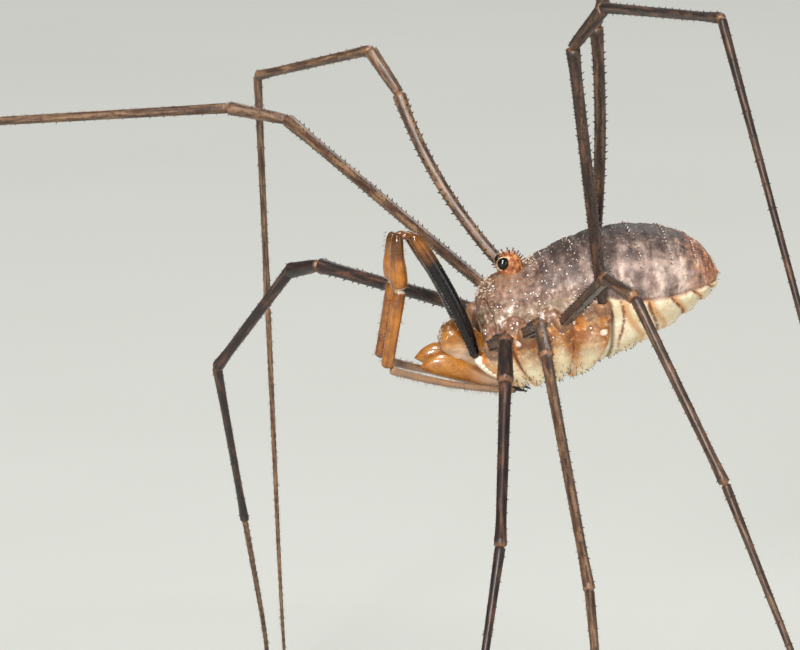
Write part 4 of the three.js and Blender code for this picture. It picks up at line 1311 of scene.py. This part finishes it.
LEG_TONES = {"right_1": 1.0, "right_2": 0.35, "right_3": 0.3, "right_4": 0.75,
             "left_1": 1.0, "left_2": 0.5, "left_3": 0.7, "left_4": 0.9}
for name, side in SIDES.items():
    for pair in range(4):
        leg = f"{name}_{pair + 1}"
        nodes = tuple(f"leg_{leg}_{article}" for article in ARTICLES + ("tarsus",))
        part, tracks = leg_rods(name, side, pair, LEG_TONES[leg])
        make(f"leg_skin_{leg}", part, leg_skin.material, nodes)
        make(f"leg_spines_{leg}", leg_spines(tracks, LENGTHS[pair]), spine_dark)
        make(f"leg_hairs_{leg}", leg_hairs(tracks, LENGTHS[pair]), bristle)

# %% [markdown]
# ## Camera, floor and light
#
# The photograph was taken from the animal's left, a little ahead of it and a little above. The camera
# stands 200 mm from a point left of the head and its lens takes in 22.8 mm there, which is the
# photograph's frame. The floor is plain and pale, and four soft lights stand round the animal.

# %% Camera
AZIMUTH, ELEVATION = np.radians(-7.0), np.radians(8.0)
DISTANCE, PIXEL = 200.0, 0.0285
IMAGE_WIDTH, SENSOR = 800, 36.0
BODY_PIXEL_OFFSET = np.array([-200.0, 15.0])
LEVEL_WAY = np.array([np.sin(AZIMUTH), -np.cos(AZIMUTH), 0.0])
towards_camera = LEVEL_WAY * np.cos(ELEVATION) + np.array([0, 0, np.sin(ELEVATION)])
image_right = np.array([np.cos(AZIMUTH), np.sin(AZIMUTH), 0.0])
image_up = np.cross(towards_camera, image_right)
right_by, down_by = BODY_PIXEL_OFFSET * PIXEL
target = BODY_MIDDLE + image_right * right_by - image_up * down_by
camera_data = bpy.data.cameras.new("photo_camera")
camera = bpy.data.objects.new("photo_camera", camera_data)
bpy.context.scene.collection.objects.link(camera)
bpy.context.scene.camera = camera
camera_data.sensor_width = SENSOR
camera_data.lens = SENSOR * DISTANCE / (IMAGE_WIDTH * PIXEL)
camera_data.clip_start, camera_data.clip_end = 0.01, 10.0


def stand_at(thing, place, aim):
    """Moves an object to a place in mm and turns its -Z axis to aim."""
    back = unit(np.asarray(place, float) - np.asarray(aim, float))
    right = unit(np.cross([0, 0, 1.0], back))
    up = np.cross(back, right)
    matrix = np.eye(4)
    matrix[:3, 0], matrix[:3, 1], matrix[:3, 2] = right, up, back
    matrix[:3, 3] = np.asarray(place) * MM
    thing.matrix_world = matrix.T.tolist()


stand_at(camera, target + towards_camera * DISTANCE, target)

# %% Floor and lights
FLOOR_HALF = 900.0
floor_mesh = bpy.data.meshes.new("floor")
corners = np.array([[-1, -1, 0], [1, -1, 0], [1, 1, 0], [-1, 1, 0]]) * FLOOR_HALF * MM
floor_mesh.from_pydata(corners.tolist(), [], [[0, 1, 2, 3]])
floor = bpy.data.objects.new("floor", floor_mesh)
bpy.context.scene.collection.objects.link(floor)
paper = Finish("pale_floor", Roughness=0.9)
paper.colour(paper.mix(paper.noise(40.0), (200, 201, 194), (208, 208, 202)))
floor_mesh.materials.append(paper.material)

LIGHTS = {"key": ([-140, -420, 480], 190, 4.1), "fill": ([520, -480, 160], 420, 0.95),
          "rim": ([200, 480, 480], 380, 1.5), "front": ([-230, -600, 150], 80, 2.6)}
bpy.context.scene.view_settings.view_transform = "Standard"
for name, (place, size, power) in LIGHTS.items():
    lamp = bpy.data.lights.new(name, "AREA")
    lamp.size, lamp.energy = size * MM, power
    lamp_object = bpy.data.objects.new(name, lamp)
    bpy.context.scene.collection.objects.link(lamp_object)
    stand_at(lamp_object, np.array(place) + BODY_MIDDLE, BODY_MIDDLE)
ROOM_COLOUR, ROOM_STRENGTH = (0.9, 0.92, 0.88, 1), 0.26
world = bpy.data.worlds.new("room")
bpy.context.scene.world = world
world.use_nodes = True
room = world.node_tree.nodes["Background"].inputs
room["Color"].default_value, room["Strength"].default_value = ROOM_COLOUR, ROOM_STRENGTH
